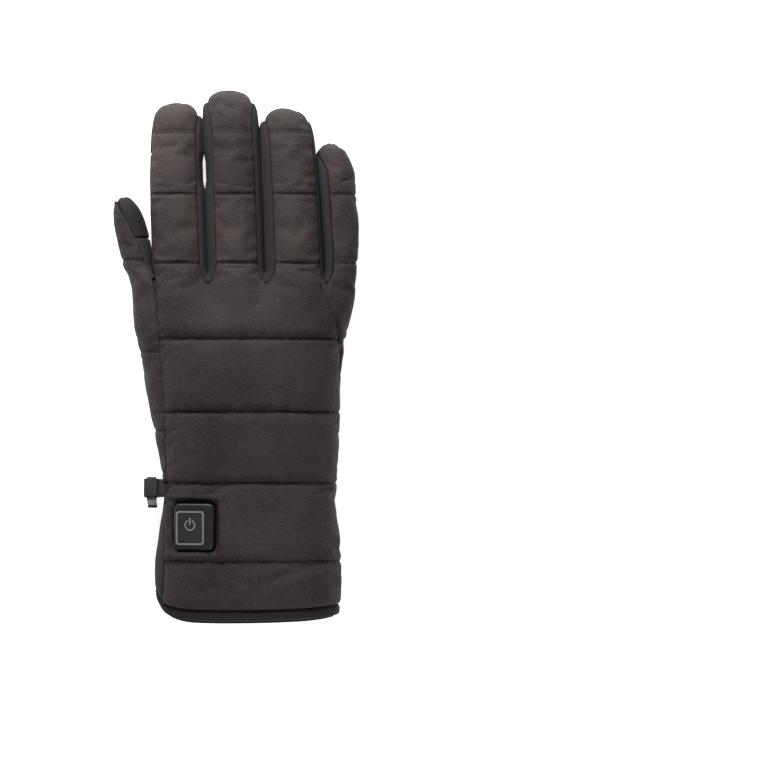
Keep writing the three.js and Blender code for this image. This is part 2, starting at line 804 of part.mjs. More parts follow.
function thumbPoint(row, angle, inset) {
  const cap = thumbCap - inset;
  const turn = row.turn === undefined ? 90 : row.turn;
  const y = row.turn === undefined ? row.y : thumbLength - inset - cap * (1 - Math.cos(turn * degrees));
  const at = thumbShare(y);
  const closing = Math.sin(turn * degrees);
  const wide = tableValue(thumbTable, 'at', 'width', at) * palmWidth;
  const deep = tableValue(thumbTable, 'at', 'depth', at) * palmDepth;
  const middle = tableValue(thumbTable, 'at', 'z', at) * palmDepth;
  const half = (wide / 2 - inset) * closing;
  const height = (deep / 2 - inset) * closing;
  return new THREE.Vector3(
    tableValue(thumbTable, 'at', 'x', at) * palmWidth + half * power(Math.cos(angle * degrees), fingerRound),
    y,
    pressed(middle + height * power(Math.sin(angle * degrees), fingerRound), inset),
  );
}

function thumbSeams(row) {
  const at = thumbShare(thumbPoint(row, 0, 0).y);
  const turned = row.turn === undefined ? 1 : Math.sin(row.turn * degrees);
  return {
    top: mix(180, tableValue(thumbTable, 'at', 'top', at), turned),
    bottom: mix(180, tableValue(thumbTable, 'at', 'bottom', at), turned),
  };
}

const thumbSegments = 8;
const frontSegments = 3;
const thumbAllRows = [...capRows, ...thumbRows.map((share) => ({ y: thumbY(share), open: 1 }))];
const thumbQuiltLevels = [thumbY(thumbTipLine), ...thumbQuiltLines.map((line) => line * gloveLength)];

function backEdge(y, inset) {
  return backPoint(backColumns[backColumns.length - 1], y, inset);
}

function palmEdge(y, inset) {
  return palmPoint(palmColumns[sideSegments], y, inset);
}

// Pulls a row of points onto its two end points, with what lies between following
function pulledTo(points, start, end) {
  const last = points.length - 1;
  const startMove = start.clone().sub(points[0]);
  const endMove = end.clone().sub(points[last]);
  return points.map((point, c) => point.clone().add(mixPoints(startMove, endMove, c / last)));
}

function thumbBackRow(row, inset, extra) {
  const seams = thumbSeams(row);
  return steps(thumbSegments).map((c) => {
    const puffed = c === 0 || c === thumbSegments ? inset : inset - extra;
    return thumbPoint(row, mix(seams.top, seams.bottom, c / thumbSegments), puffed);
  });
}

function thumbForkRow(inset, extra) {
  const row = { y: thumbTopAt * gloveLength };
  const points = thumbBackRow(row, inset, extra);
  const top = crotchPoint(0, 0);
  top.z -= inset;
  return pulledTo(points, top, palmEdge(thumbCrotchAt * gloveLength, inset));
}

function addThumb() {
  const net = makeNet();
  const front = makeNet();
  const patch = makeNet();
  const puff = (y) => quiltRise * puffAt(thumbQuiltLevels, thumbLength, wristAt * gloveLength, y);
  const names = thumbAllRows.map((row, r) => {
    const y = thumbPoint(row, 180, 0).y;
    const outer = thumbBackRow(row, 0, puff(y));
    const inner = thumbBackRow(row, thumbWall, 0);
    return outer.map((point, c) => addCorner(net, r > 0 ? `tube${r}.${c}` : 'tip', point, inner[c]));
  });
  const forkOuter = thumbForkRow(0, puff(thumbTopAt * gloveLength));
  const forkInner = thumbForkRow(thumbWall, 0);
  names.push(forkOuter.map((point, c) => addCorner(net, `fork${c}`, point, forkInner[c])));
  const spanRows = handRows.slice(1).map((share) => share * gloveLength);
  for (const y of spanRows) {
    const weight = eased((thumbTopAt * gloveLength - y) / ((thumbTopAt - thumbBlendEnd) * gloveLength));
    const rowOf = (fork, inset, extra) => {
      const from = handAngle(y, seamX('thumbTop', y), false);
      const below = tableValue(thumbSeamTable, 'at', 'below', y / gloveLength) * palmWidth;
      const to = handAngle(y, below, true);
      const points = fork.map((point, c) => {
        const puffed = c === 0 || c === thumbSegments ? inset : inset - extra;
        const onHand = handPoint(y, mix(from, to, c / thumbSegments), puffed);
        const swept = point.clone();
        swept.y = y;
        return mixPoints(swept, onHand, weight);
      });
      return pulledTo(points, backEdge(y, inset), palmEdge(y, inset));
    };
    const outer = rowOf(forkOuter, 0, puff(y));
    const inner = rowOf(forkInner, thumbWall, 0);
    names.push(outer.map((point, c) => addCorner(net, `hand${y}.${c}`, point, inner[c])));
  }
  addCells(net, names);
  addPart('thumb_back', netGeometry(net), colours.twill);

  const frontNames = (target, rows) => rows.map((row) => {
    const seams = thumbSeams(row);
    return steps(frontSegments).map((k) => {
      const angle = mix(seams.bottom - 360, seams.top, k / frontSegments);
      const outer = thumbPoint(row, angle, 0);
      const name = row.turn === 0 ? 'tip' : `front${outer.y}.${k}`;
      return addCorner(target, name, outer, thumbPoint(row, angle, stripWall));
    });
  });
  const patchY = thumbY(thumbPatchAt);
  const upper = thumbAllRows.filter((row) => row.turn !== undefined || row.y > patchY + 1);
  const lower = thumbAllRows.filter((row) => row.turn === undefined && row.y < patchY - 1);
  const edge = { y: patchY };
  addCells(patch, frontNames(patch, [...upper, edge]));
  const crotchRow = steps(frontSegments).map((k) => {
    const place = frontSegments - k;
    const inner = crotchInner(place, -seamGap / 2, -1, stripWall);
    return addCorner(front, `crotch${k}`, crotchPoint(place, -seamGap / 2), inner);
  });
  addCells(front, [...frontNames(front, [edge, ...lower]), crotchRow]);
  addPart('thumb_front', netGeometry(front), colours.softshell);
  addPart('thumb_patch', netGeometry(patch), colours.patch);
}

// Softshell side of the cuff, with the window of the battery pocket
const cuffSegments = { side: 3, window: 9, end: 2 };
const windowRight = zipEdge;
const windowLeft = zipEdge - zipLength;

function cuffAngles(y) {
  const start = handAngle(y, seamX('thumbTop', y), false);
  const left = handAngle(zipRise, windowLeft, true);
  const right = handAngle(zipRise, windowRight, true);
  const end = handAngle(y, cuffEdgeX(y), true);
  const part = (from, to, spans) => steps(spans - 1).map((i) => mix(from, to, i / spans));
  return [
    ...part(start, left, cuffSegments.side),
    ...part(left, right, cuffSegments.window),
    ...part(right, end, cuffSegments.end),
    end,
  ];
}

function gussetShare(y) {
  return Math.sqrt(clamp01((buttonTop - y) / buttonTop));
}

function cuffEdgeX(y) {
  const open = y > buttonTop ? 0 : mix(gussetStart, gussetWidth, gussetShare(y));
  return seamX('little', y) - open;
}

const gussetLevels = [...buttonRows, lastQuilt, windowBottom];

function addCuff() {
  const net = makeNet();
  const rows = [];
  const upper = [wristAt * gloveLength, cuffRow * gloveLength, ...gussetLevels];
  for (const y of upper) {
    rows.push(cuffAngles(y).map((angle, c) => addCorner(
      net,
      `cuff${y}.${c}`,
      handPoint(y, angle, 0),
      handPoint(y, angle, cuffWall),
    )));
  }
  for (const share of mouthRows) {
    rows.push(cuffAngles(lastQuilt).map((angle, c) => {
      const y = mouthY(angle, share);
      const place = cuffAngles(y)[c];
      return addCorner(net, `hem${share}.${c}`, handPoint(y, place, 0), handPoint(y, place, cuffWall));
    }));
  }
  const windowRow = upper.length - 2;
  const windowStart = cuffSegments.side;
  const windowEnd = windowStart + cuffSegments.window;
  const inWindow = (r, c) => r === windowRow && c >= windowStart && c < windowEnd;
  addCells(net, rows, (r, c) => !inWindow(r, c));
  addPart('cuff_panel', netGeometry(net), colours.softshell);
}

// Pleated gusset between the cuff panel and the back
function addGusset() {
  const net = makeNet();
  const spans = 4;
  const endAngles = [cuffAngles(lastQuilt).at(-1), backHandAngle(backColumns[0], lastQuilt) + 360];
  const cornerAt = (name, k, y) => {
    const share = k / spans;
    const angle = mix(handAngle(y, cuffEdgeX(y), true), handAngle(y, seamX('little', y), true), share);
    const fold = Math.sin(share * Math.PI) * gussetDepth * gussetShare(y);
    return addCorner(net, `${name}.${k}`, handPoint(y, angle, fold), handPoint(y, angle, fold + gussetWall));
  };
  const rows = gussetLevels.map((level) => steps(spans).map((k) => cornerAt(level, k, level)));
  for (const share of mouthRows) {
    rows.push(steps(spans).map((k) => {
      const y = mouthY(mix(endAngles[0], endAngles[1], k / spans), share);
      return cornerAt(`hem${share}`, k, y);
    }));
  }
  addCells(net, rows);
  addPart('cuff_gusset', netGeometry(net), colours.softshell);
}

// Band round the mouth, in the columns of the panels that it closes
function addHem() {
  const net = makeNet();
  const back = backColumns.map((column) => {
    const y = mouthY(backHandAngle(column, lastQuilt), 1);
    return { y, angle: backHandAngle(column, y) };
  });
  const cuff = cuffAngles(lastQuilt).map((start, c) => {
    const y = mouthY(start, 1);
    return { y, angle: cuffAngles(y)[c] };
  });
  const columns = [...back, ...cuff.slice(1)];
  const rows = [0, 0.5, 1].map((share) => columns.map(({ y, angle }, c) => {
    const level = y - hemWidth * share;
    const outer = handPoint(level, angle, share === 0 ? 0 : -hemProud);
    return addCorner(net, `band${share}.${c}`, outer, handPoint(level, angle, hemWall));
  }));
  addCells(net, rows);
  addPart('hem_band', netGeometry(net), colours.binding);
}

// A frame on the outer face of the cuff: +X round the hand, +Z outwards
function surfaceFrame(x, y, below) {
  const angle = handAngle(y, x, below);
  const origin = handPoint(y, angle, 0);
  const step = below ? 1 : -1;
  const across = handPoint(y, angle + step, 0).sub(handPoint(y, angle - step, 0)).normalize();
  const along = new THREE.Vector3(0, below ? -1 : 1, 0);
  const frame = new THREE.Group();
  frame.matrix.makeBasis(across, along, across.clone().cross(along)).setPosition(origin);
  frame.matrixAutoUpdate = false;
  glove.add(frame);
  return frame;
}

function roundedRectangle(width, height, corner) {
  const shape = new THREE.Shape();
  const x = width / 2;
  const y = height / 2;
  shape.moveTo(x - corner, -y);
  shape.absarc(x - corner, corner - y, corner, -Math.PI / 2, 0);
  shape.absarc(x - corner, y - corner, corner, 0, Math.PI / 2);
  shape.absarc(corner - x, y - corner, corner, Math.PI / 2, Math.PI);
  shape.absarc(corner - x, corner - y, corner, Math.PI, 1.5 * Math.PI);
  return shape;
}

function rectanglePath(left, right, low, high) {
  const path = new THREE.Path();
  path.moveTo(left, low);
  path.lineTo(left, high);
  path.lineTo(right, high);
  path.lineTo(right, low);
  path.closePath();
  return path;
}

function plate(shape, from, to, curveSegments = 4) {
  const geometry = new THREE.ExtrudeGeometry(shape, { depth: to - from, bevelEnabled: false, curveSegments });
  geometry.translate(0, 0, from);
  return geometry;
}

function box(width, height, from, to, x = 0) {
  return new THREE.BoxGeometry(width, height, to - from).translate(x, 0, (from + to) / 2);
}

// Overlapping pieces become one closed body
const wasm = await Module();
wasm.setup();

function joined(geometries) {
  const solids = geometries.map((geometry) => {
    const bare = geometry.clone();
    bare.deleteAttribute('normal');
    bare.deleteAttribute('uv');
    const merged = mergeVertices(bare, 1e-4);
    return new wasm.Manifold(new wasm.Mesh({
      numProp: 3,
      vertProperties: new Float32Array(merged.attributes.position.array),
      triVerts: new Uint32Array(merged.index.array),
    }));
  });
  const mesh = solids.reduce((all, solid) => all.add(solid)).getMesh();
  const geometry = new THREE.BufferGeometry();
  geometry.setAttribute('position', new THREE.BufferAttribute(mesh.vertProperties, 3));
  geometry.setIndex(new THREE.BufferAttribute(mesh.triVerts, 1));
  return geometry;
}

// Zip: tape behind the window, chain of interlocking teeth, slider with its bridge, and puller
const sliderX = zipEdge - sliderInset - sliderLength / 2;

function zipAngle(x) {
  return handAngle(zipRise, x, true);
}

function addZipTape() {
  const net = makeNet();
  const lapAngle = zipAngle(windowRight) - zipAngle(windowRight - tapeLap);
  const angles = cuffAngles(zipRise).slice(cuffSegments.side, cuffSegments.side + cuffSegments.window + 1);
  angles.unshift(angles[0] - lapAngle);
  angles.push(angles.at(-1) + lapAngle);
  const levels = [lastQuilt + tapeLap, lastQuilt, windowBottom, windowBottom - tapeLap];
  const depth = cuffWall + tapeGap;
  const rows = levels.map((y) => angles.map((angle, c) => addCorner(
    net,
    `tape${y}.${c}`,
    handPoint(y, angle, depth),
    handPoint(y, angle, depth + tapeWall),
  )));
  addCells(net, rows);
  addPart('zip_tape', netGeometry(net), colours.zip);
}

function addZipTeeth() {
  const net = makeNet();
  const start = zipAngle(windowLeft + chainGap);
  const end = zipAngle(sliderX - sliderLength / 2 - chainGap);
  const count = Math.round(((zipLength - sliderLength) / toothPitch) / 2) * 2;
  const outerDepth = cuffWall + tapeGap - chainGap - toothRise;
  const levels = steps(3).map((row) => zipRise + chainWidth * (0.5 - row / 3));
  const rows = levels.map((y) => steps(count).map((c) => {
    const angle = mix(start, end, c / count);
    return addCorner(
      net,
      `chain${y}.${c}`,
      handPoint(y, angle, outerDepth),
      handPoint(y, angle, outerDepth + toothRise),
    );
  }));
  addCells(net, rows, (r, c) => r === 1 || (r === 0) === (c % 2 === 0));
  addPart('zip_teeth', netGeometry(net, false), colours.zip, 0.5);
}

function addSlider() {
  const frame = surfaceFrame(sliderX, zipRise, true);
  const body = plate(roundedRectangle(sliderLength, sliderWidth, sliderCorner), -sliderDepth, sliderProud);
  const top = sliderProud + bridgeClear;
  const footX = (bridgeSpan - bridgeFoot) / 2;
  const bridge = [
    box(bridgeFoot, bridgeWidth, 0, top + bridgeDepth, footX),
    box(bridgeFoot, bridgeWidth, 0, top + bridgeDepth, -footX),
    box(bridgeSpan, bridgeWidth, top, top + bridgeDepth),
  ];
  bridge.forEach((piece) => piece.rotateZ(pullerHeading * degrees));
  frame.add(addPart('zip_slider', joined([body, ...bridge]), colours.zip, 0.35));

  const half = pullerWidth / 2;
  const root = pullerRoot / 2;
  const end = pullerLength - pullerEdge;
  const shape = new THREE.Shape();
  shape.moveTo(-pullerEdge, -root);
  shape.lineTo(pullerEye + pullerEdge, -root);
  shape.lineTo(pullerEye + half, -half);
  shape.absarc(end - half, 0, half, -Math.PI / 2, Math.PI / 2);
  shape.lineTo(pullerEye + half, half);
  shape.lineTo(pullerEye + pullerEdge, root);
  shape.lineTo(-pullerEdge, root);
  shape.closePath();
  const eyeHalf = bridgeWidth / 2 + pullerClear;
  shape.holes.push(rectanglePath(pullerEdge, pullerEye + pullerEdge, -eyeHalf, eyeHalf));
  const loopFrom = pullerEye + pullerEdge + half / 2;
  shape.holes.push(rectanglePath(loopFrom, end - half / 2 - pullerEdge, -half / 2, half / 2));
  const puller = addPart('zip_puller', plate(shape, -pullerDepth / 2, pullerDepth / 2), colours.zip, 0.3);
  puller.position.z = sliderProud + bridgeClear / 2;
  puller.rotation.z = pullerHeading * degrees;
  frame.add(puller);
}

// Heating switch: a rubber housing through a hole in the back, with its printed frame and symbol
function addButton() {
  const frame = surfaceFrame(buttonX, buttonY, false);
  const housing = roundedRectangle(buttonWidth, buttonHeight, buttonCorner);
  const low = buttonProud - buttonDepth;
  frame.add(addPart('button_housing', plate(housing, low, buttonProud), colours.rubber, 0.5));

  const printLow = buttonProud + printGap;
  const printHigh = printLow + printRise;
  const addPrint = (name, geometry) => {
    geometry.translate(frameShiftX, frameShiftY, 0);
    frame.add(addPart(name, geometry, colours.print, 0.5));
  };
  const outline = roundedRectangle(frameWidth, frameHeight, 2 * frameLine);
  outline.holes.push(roundedRectangle(frameWidth - 2 * frameLine, frameHeight - 2 * frameLine, frameLine));
  addPrint('button_frame', plate(outline, printLow, printHigh, cornerSegments));

  const opening = (symbolOpening / 2) * degrees;
  const ring = new THREE.Shape();
  const from = Math.PI / 2 + opening;
  const to = Math.PI / 2 - opening + 2 * Math.PI;
  ring.absarc(0, symbolLift, symbolRadius + symbolLine / 2, from, to);
  ring.absarc(0, symbolLift, symbolRadius - symbolLine / 2, to, from, true);
  addPrint('button_ring', plate(ring, printLow, printHigh, ringSegments));
  const bar = box(symbolLine, symbolBar, printLow, printHigh);
  bar.translate(0, symbolLift + symbolBar / 2, 0);
  addPrint('button_bar', bar);
}

// Webbing loop at the wrist and the male half of a side-release buckle that hangs in it
function addBuckle() {
  const hanger = new THREE.Group();
  const buckleY = buckleAt * gloveLength;
  const wrist = handSection(buckleY);
  hanger.position.set(wrist.x - wrist.half - buckleStandoff, buckleY, buckleHigh * palmDepth);
  hanger.rotation.x = buckleTilt * degrees;
  glove.add(hanger);

  const slotHalf = webbingWidth / 2 + buckleClear;
  const bodyHalf = slotHalf + buckleSide;
  const top = buckleBar / 2;
  const bodyEnd = top - buckleBody;
  const tip = top - buckleLength;
  const barbTop = (bodyEnd + tip) / 2;
  const inner = bodyHalf - prongWidth;
  const side = [
    [guideWidth / 2, bodyEnd],
    [inner, bodyEnd],
    [inner, tip + prongWidth],
    [bodyHalf - prongBarb, tip],
    [bodyHalf + prongBarb, barbTop],
    [bodyHalf, barbTop],
    [bodyHalf, top - buckleSide],
    [bodyHalf - buckleSide, top],
  ];
  const shape = new THREE.Shape();
  shape.moveTo(-guideWidth / 2, tip + guideShort);
  shape.lineTo(guideWidth / 2, tip + guideShort);
  side.forEach(([x, y]) => shape.lineTo(x, y));
  [...side].reverse().forEach(([x, y]) => shape.lineTo(-x, y));
  shape.closePath();
  shape.holes.push(rectanglePath(-slotHalf, slotHalf, -top - buckleSlot, -top));
  const buckle = plate(shape, -buckleDepth / 2, buckleDepth / 2);
  buckle.applyMatrix4(new THREE.Matrix4().makeBasis(
    new THREE.Vector3(0, 1, 0),
    new THREE.Vector3(0, 0, 1),
    new THREE.Vector3(1, 0, 0),
  ));
  hanger.add(addPart('buckle', buckle, colours.plastic, 0.45));

  const innerX = buckleDepth / 2 + buckleClear;
  const innerZ = buckleBar / 2 + buckleClear;
  const outerX = innerX + webbingWall;
  const outerZ = innerZ + webbingWall;
  const loop = new THREE.Shape();
  loop.moveTo(strapReach, -webbingWall);
  loop.lineTo(strapReach, webbingWall);
  loop.lineTo(outerX, webbingWall);
  loop.lineTo(innerX, outerZ);
  loop.lineTo(-innerX, outerZ);
  loop.lineTo(-outerX, webbingWall);
  loop.lineTo(-outerX, -webbingWall);
  loop.lineTo(-innerX, -outerZ);
  loop.lineTo(innerX, -outerZ);
  loop.lineTo(outerX, -webbingWall);
  loop.closePath();
  loop.holes.push(rectanglePath(-innerX, innerX, -innerZ, innerZ));
  const strap = plate(loop, -webbingWidth / 2, webbingWidth / 2);
  strap.rotateX(Math.PI / 2);
  hanger.add(addPart('strap', strap, colours.webbing));
}

addBackPanel();
addPalmPanels();
for (let i = 0; i < fingers.length - 1; i += 1) {
  addSideStrip(fingers[i], fingers[i + 1]);
}
addThumb();
addCuff();
addGusset();
addHem();
addZipTape();
addZipTeeth();
addSlider();
addButton();
addBuckle();

// The origin is the middle of the footprint, on the surface that the glove lies on
const resting = new THREE.Group();
resting.add(glove);
resting.updateMatrixWorld(true);
const bounds = new THREE.Box3().setFromObject(glove, true);
const middle = bounds.getCenter(new THREE.Vector3());
glove.position.set(-middle.x, -middle.y, -bounds.min.z);

export default resting;
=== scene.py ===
import math

import bmesh
import bpy
import numpy as np
from mathutils import Matrix, Vector, kdtree, noise


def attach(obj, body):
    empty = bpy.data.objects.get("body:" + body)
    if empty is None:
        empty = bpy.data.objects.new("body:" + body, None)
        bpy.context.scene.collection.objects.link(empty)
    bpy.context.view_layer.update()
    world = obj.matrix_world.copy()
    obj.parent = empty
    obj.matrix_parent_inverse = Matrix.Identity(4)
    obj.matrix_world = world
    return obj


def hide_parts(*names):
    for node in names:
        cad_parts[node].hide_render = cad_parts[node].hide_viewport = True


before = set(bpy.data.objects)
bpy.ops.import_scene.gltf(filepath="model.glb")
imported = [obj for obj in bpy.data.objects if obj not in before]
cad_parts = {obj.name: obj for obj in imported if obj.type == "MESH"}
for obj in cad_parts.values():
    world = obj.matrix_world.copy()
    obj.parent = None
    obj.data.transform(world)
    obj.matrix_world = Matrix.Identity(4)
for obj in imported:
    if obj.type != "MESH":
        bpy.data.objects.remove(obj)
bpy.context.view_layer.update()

# Camera: straight above the back of the glove, at the photograph's scale
MM = 0.001
IMAGE_PIXELS = 768
PIXEL_MM = 0.53
SENSOR_MM = 36
CAMERA_DISTANCE = 2.6
GLOVE_MIDDLE_HEIGHT = 0.02
AIM = (0.0783, -0.0157)

camera_data = bpy.data.cameras.new("camera")
camera_data.sensor_width = SENSOR_MM
camera_data.lens = SENSOR_MM * CAMERA_DISTANCE / (IMAGE_PIXELS * PIXEL_MM * MM)
camera = bpy.data.objects.new("camera", camera_data)
camera.location = (AIM[0], AIM[1], CAMERA_DISTANCE + GLOVE_MIDDLE_HEIGHT)
bpy.context.scene.collection.objects.link(camera)
bpy.context.scene.camera = camera

# Sizes of the glove in millimetres, the same as in the part's source
LENGTH = 282
PALM_WIDTH = 104
PALM_DEPTH = 42
THUMB_LENGTH = 226
BACK_WALL = 2.4
PALM_WALL = 1.8
STRIP_WALL = 1.5
THUMB_WALL = 2.2
CUFF_WALL = 2
GUSSET_WALL = 2.2
HEM_WALL = 3
HEM_WIDTH = 5.6
HEM_PROUD = 0.5
SEAM_GAP = 0.55
FINGER_CAP = 12.7
FINGER_TIP_FLAT = 0.15
THUMB_CAP = 9
WEB_RISE = 1.2
CROTCH_BOW = 1.8
CUFF_WEB = 0.03
GUSSET_START = 1.6
GUSSET_WIDTH = 8.5
GUSSET_DEPTH = 8
ZIP_LENGTH = 70
ZIP_WIDTH = 8.7
ZIP_EDGE = 23
TAPE_WALL = 0.8
TAPE_LAP = 2.2
TAPE_GAP = 0.5
BUTTON_WIDTH = 21.7
BUTTON_HEIGHT = 24.4
BUTTON_X = -0.273 * PALM_WIDTH
BUTTON_Y = 0.181 * LENGTH
BUTTON_GAP = 0.9
SECTION_ROUND = 0.82
SECTION_FLAT = 0.74
FINGER_ROUND = 0.92

# The part's origin, from the middle of the hem on the palm's centre line
ORIGIN = Vector((7.2984, -141.85125, 0.006))


# Small numbers
def mix(a, b, share):
    return a + (b - a) * share


def clamp01(value):
    return min(1, max(0, value))


def eased(value):
    return clamp01(value) ** 2 * (3 - 2 * clamp01(value))


def power(value, exponent):
    return math.copysign(abs(value) ** exponent, value)


def table_value(table, key, column, at):
    """A value on a smooth curve through a table's stations."""
    last = len(table) - 1
    falling = -1 if table[0][key] > table[last][key] else 1
    place = [row[key] * falling for row in table]
    first = 0
    while first < last - 1 and place[first + 1] < at * falling:
        first += 1
    before, beyond = max(0, first - 1), min(last, first + 2)
    span = place[first + 1] - place[first]
    share = clamp01((at * falling - place[first]) / span)
    here, after = table[first][column], table[first + 1][column]
    slope_here = (after - table[before][column]) / (place[first + 1] - place[before]) * span
    slope_after = (table[beyond][column] - here) / (place[beyond] - place[first]) * span
    a = 2 * here - 2 * after + slope_here + slope_after
    b = 3 * after - 3 * here - 2 * slope_here - slope_after
    return ((a * share + b) * share + slope_here) * share + here


# Places along the glove, as shares of its length
CROTCH = 0.661 * LENGTH
WEB = 0.635 * LENGTH
BLEND_END = 0.545 * LENGTH
THUMB_CROTCH = 0.6 * LENGTH
THUMB_TOP = 0.649 * LENGTH
THUMB_BLEND_END = 0.52 * LENGTH
WRIST = 0.262 * LENGTH
PATCH = 0.88 * LENGTH
QUILT_LINES = [share * LENGTH for share in (0.921, 0.803, 0.674, 0.531, 0.395, 0.262, 0.1165)]
THUMB_PATCH = mix(THUMB_TOP, THUMB_LENGTH, 0.479)
THUMB_QUILT_LINES = [mix(THUMB_TOP, THUMB_LENGTH, 0.203), 0.508 * LENGTH, 0.361 * LENGTH]


def rows_of(columns, *rows):
    names = columns.split()
    return [dict(zip(names, row)) for row in rows]


HAND = rows_of(
    "at left right middle top bottom",
    (0.673, -0.495, 0.535, 0.52, 0.84, 0.22),
    (0.6, -0.61, 0.515, 0.42, 0.93, 0.1),
    (0.52, -0.563, 0.474, 0.4, 0.975, 0.03),
    (0.417, -0.515, 0.451, 0.39, 1, -0.02),
    (0.342, -0.474, 0.449, 0.39, 0.99, -0.02),
    (0.267, -0.438, 0.438, 0.4, 0.95, 0.03),
    (0.222, -0.441, 0.431, 0.43, 0.97, 0.075),
    (0.177, -0.466, 0.449, 0.45, 1.01, 0.085),
    (0.102, -0.492, 0.459, 0.47, 1.04, 0.085),
    (0.055, -0.482, 0.461, 0.47, 1.03, 0.078),
    (0.0, -0.46, 0.452, 0.47, 1.02, -0.02),
)
SEAMS = rows_of(
    "at thumb little",
    (0.673, -0.489, 0.45),
    (0.6, -0.464, 0.485),
    (0.53, -0.459, 0.45),
    (0.4, -0.431, 0.425),
    (0.267, -0.423, 0.408),
    (0.19, -0.428, 0.425),
    (0.1, -0.43, 0.438),
    (0.0, -0.452, 0.434),
)
THUMB_SEAM = rows_of(
    "at below",
    (0.6, -0.367),
    (0.492, -0.316),
    (0.417, -0.245),
    (0.344, -0.183),
    (0.263, -0.163),
)
HEM = rows_of(
    "angle rise",
    (-60, 0.03), (0, 0.035), (60, 0.027), (110, 0.024), (140, 0.03), (165, 0.056),
    (180, 0.071), (200, 0.077), (230, 0.068), (255, 0.049), (280, 0.028), (310, 0.03),
)
FINGERS = rows_of(
    "name tip base_x tip_x bow_x base_w tip_w bow_w base_z tip_z bow_z depth lean"
    " back_from back_to palm_from palm_to cuff palm_left palm_right",
    ("little", 0.9, 0.452, 0.406, 0.014, 0.172, 0.186, 0.02, 0.42, 0.26, 0, 0.5, 0.3,
     -68, 125, 217, 292, 0.33, 0.24, None),
    ("ring", 0.966, 0.224, 0.172, 0.006, 0.29, 0.258, 0.008, 0.53, 0.28, 0.02, 0.54, 0.12,
     28, 134, 217, 323, 0.143, 0.092, 0.214),
    ("middle", 1.001, -0.07, -0.112, 0.004, 0.285, 0.274, 0.004, 0.53, 0.28, 0.02, 0.55, 0,
     38, 133, 217, 323, -0.071, -0.051, 0.061),
    ("index", 0.977, -0.355, -0.372, -0.01, 0.275, 0.255, 0.012, 0.54, 0.28, 0.02, 0.54, 0,
     42, 159, 159, 323, None, None, -0.082),
)
THUMB = rows_of(
    "at x width z depth top bottom",
    (1.01, -0.637, 0.13, 0.34, 0.5, 150, 262),
    (0.748, -0.612, 0.162, 0.34, 0.54, 112, 282),
    (0.466, -0.59, 0.168, 0.335, 0.54, 85, 322),
    (0.203, -0.572, 0.16, 0.33, 0.53, 64, 345),
    (-0.059, -0.563, 0.155, 0.33, 0.56, 50, 345),
    (-0.321, -0.55, 0.17, 0.33, 0.56, 50, 330),
)
CAP_ROWS = [(0, 0), (32, 0), (60, 0.3), (90, 1)]
FINGER_ROWS = (0.888, 0.868, 0.834, 0.819, 0.803, 0.787, 0.74, 0.69, 0.674)
THUMB_ROWS = [mix(THUMB_TOP, THUMB_LENGTH, share) for share in (0.63, 0.479, 0.335, 0.203, 0.105)]
HAND_ROWS = [share * LENGTH for share in (
    0.6, 0.567, 0.546, 0.531, 0.516, 0.486, 0.455, 0.41, 0.395, 0.38, 0.361, 0.34, 0.305, 0.28, 0.262)]
CUFF_ROW = 0.245 * LENGTH
BUTTON_RIGHT = BUTTON_X + BUTTON_WIDTH / 2 + BUTTON_GAP
BUTTON_LEFT = BUTTON_X - BUTTON_WIDTH / 2 - BUTTON_GAP
BUTTON_TOP = BUTTON_Y + BUTTON_HEIGHT / 2 + BUTTON_GAP
BUTTON_BOTTOM = BUTTON_Y - BUTTON_HEIGHT / 2 - BUTTON_GAP
BUTTON_ROWS = [BUTTON_TOP, BUTTON_Y, BUTTON_BOTTOM]
WINDOW_TOP = QUILT_LINES[-1]
WINDOW_BOTTOM = WINDOW_TOP - ZIP_WIDTH
ZIP_LEVEL = WINDOW_TOP - ZIP_WIDTH / 2
MOUTH_ROWS = (0.5, 1)
BACK_SPANS = 5
WEB_SPANS = 3
SIDE_SPANS = 3
PALM_SPANS = {"index": 7, "middle": 4, "ring": 4, "little": 3}
THUMB_SPANS = 8
FRONT_SPANS = 3
CUFF_SPANS = {"side": 3, "window": 9, "end": 2}


# The shape of the hand, in the part source's own frame
def hand_section(y):
    at = y / LENGTH
    left = table_value(HAND, "at", "left", at) * PALM_WIDTH
    right = table_value(HAND, "at", "right", at) * PALM_WIDTH
    middle = table_value(HAND, "at", "middle", at) * PALM_DEPTH
    rise = table_value(HAND, "at", "top", at) * PALM_DEPTH - middle
    drop = middle - table_value(HAND, "at", "bottom", at) * PALM_DEPTH
    return (left + right) / 2, (right - left) / 2, middle, rise, drop


def hand_point(y, angle, inset=0):
    x, half, middle, rise, drop = hand_section(y)
    across, up = math.cos(math.radians(angle)), math.sin(math.radians(angle))
    height, roundness = (rise, SECTION_ROUND) if up > 0 else (drop, SECTION_FLAT)
    z = middle + (height - inset) * power(up, roundness)
    return Vector((x + (half - inset) * power(across, SECTION_ROUND), y, max(z, inset, 0)))


def hand_angle(y, x, below):
    centre, half = hand_section(y)[:2]
    across = max(-1, min(1, (x - centre) / half))
    angle = math.degrees(math.acos(power(across, 1 / SECTION_ROUND)))
    return 360 - angle if below else angle


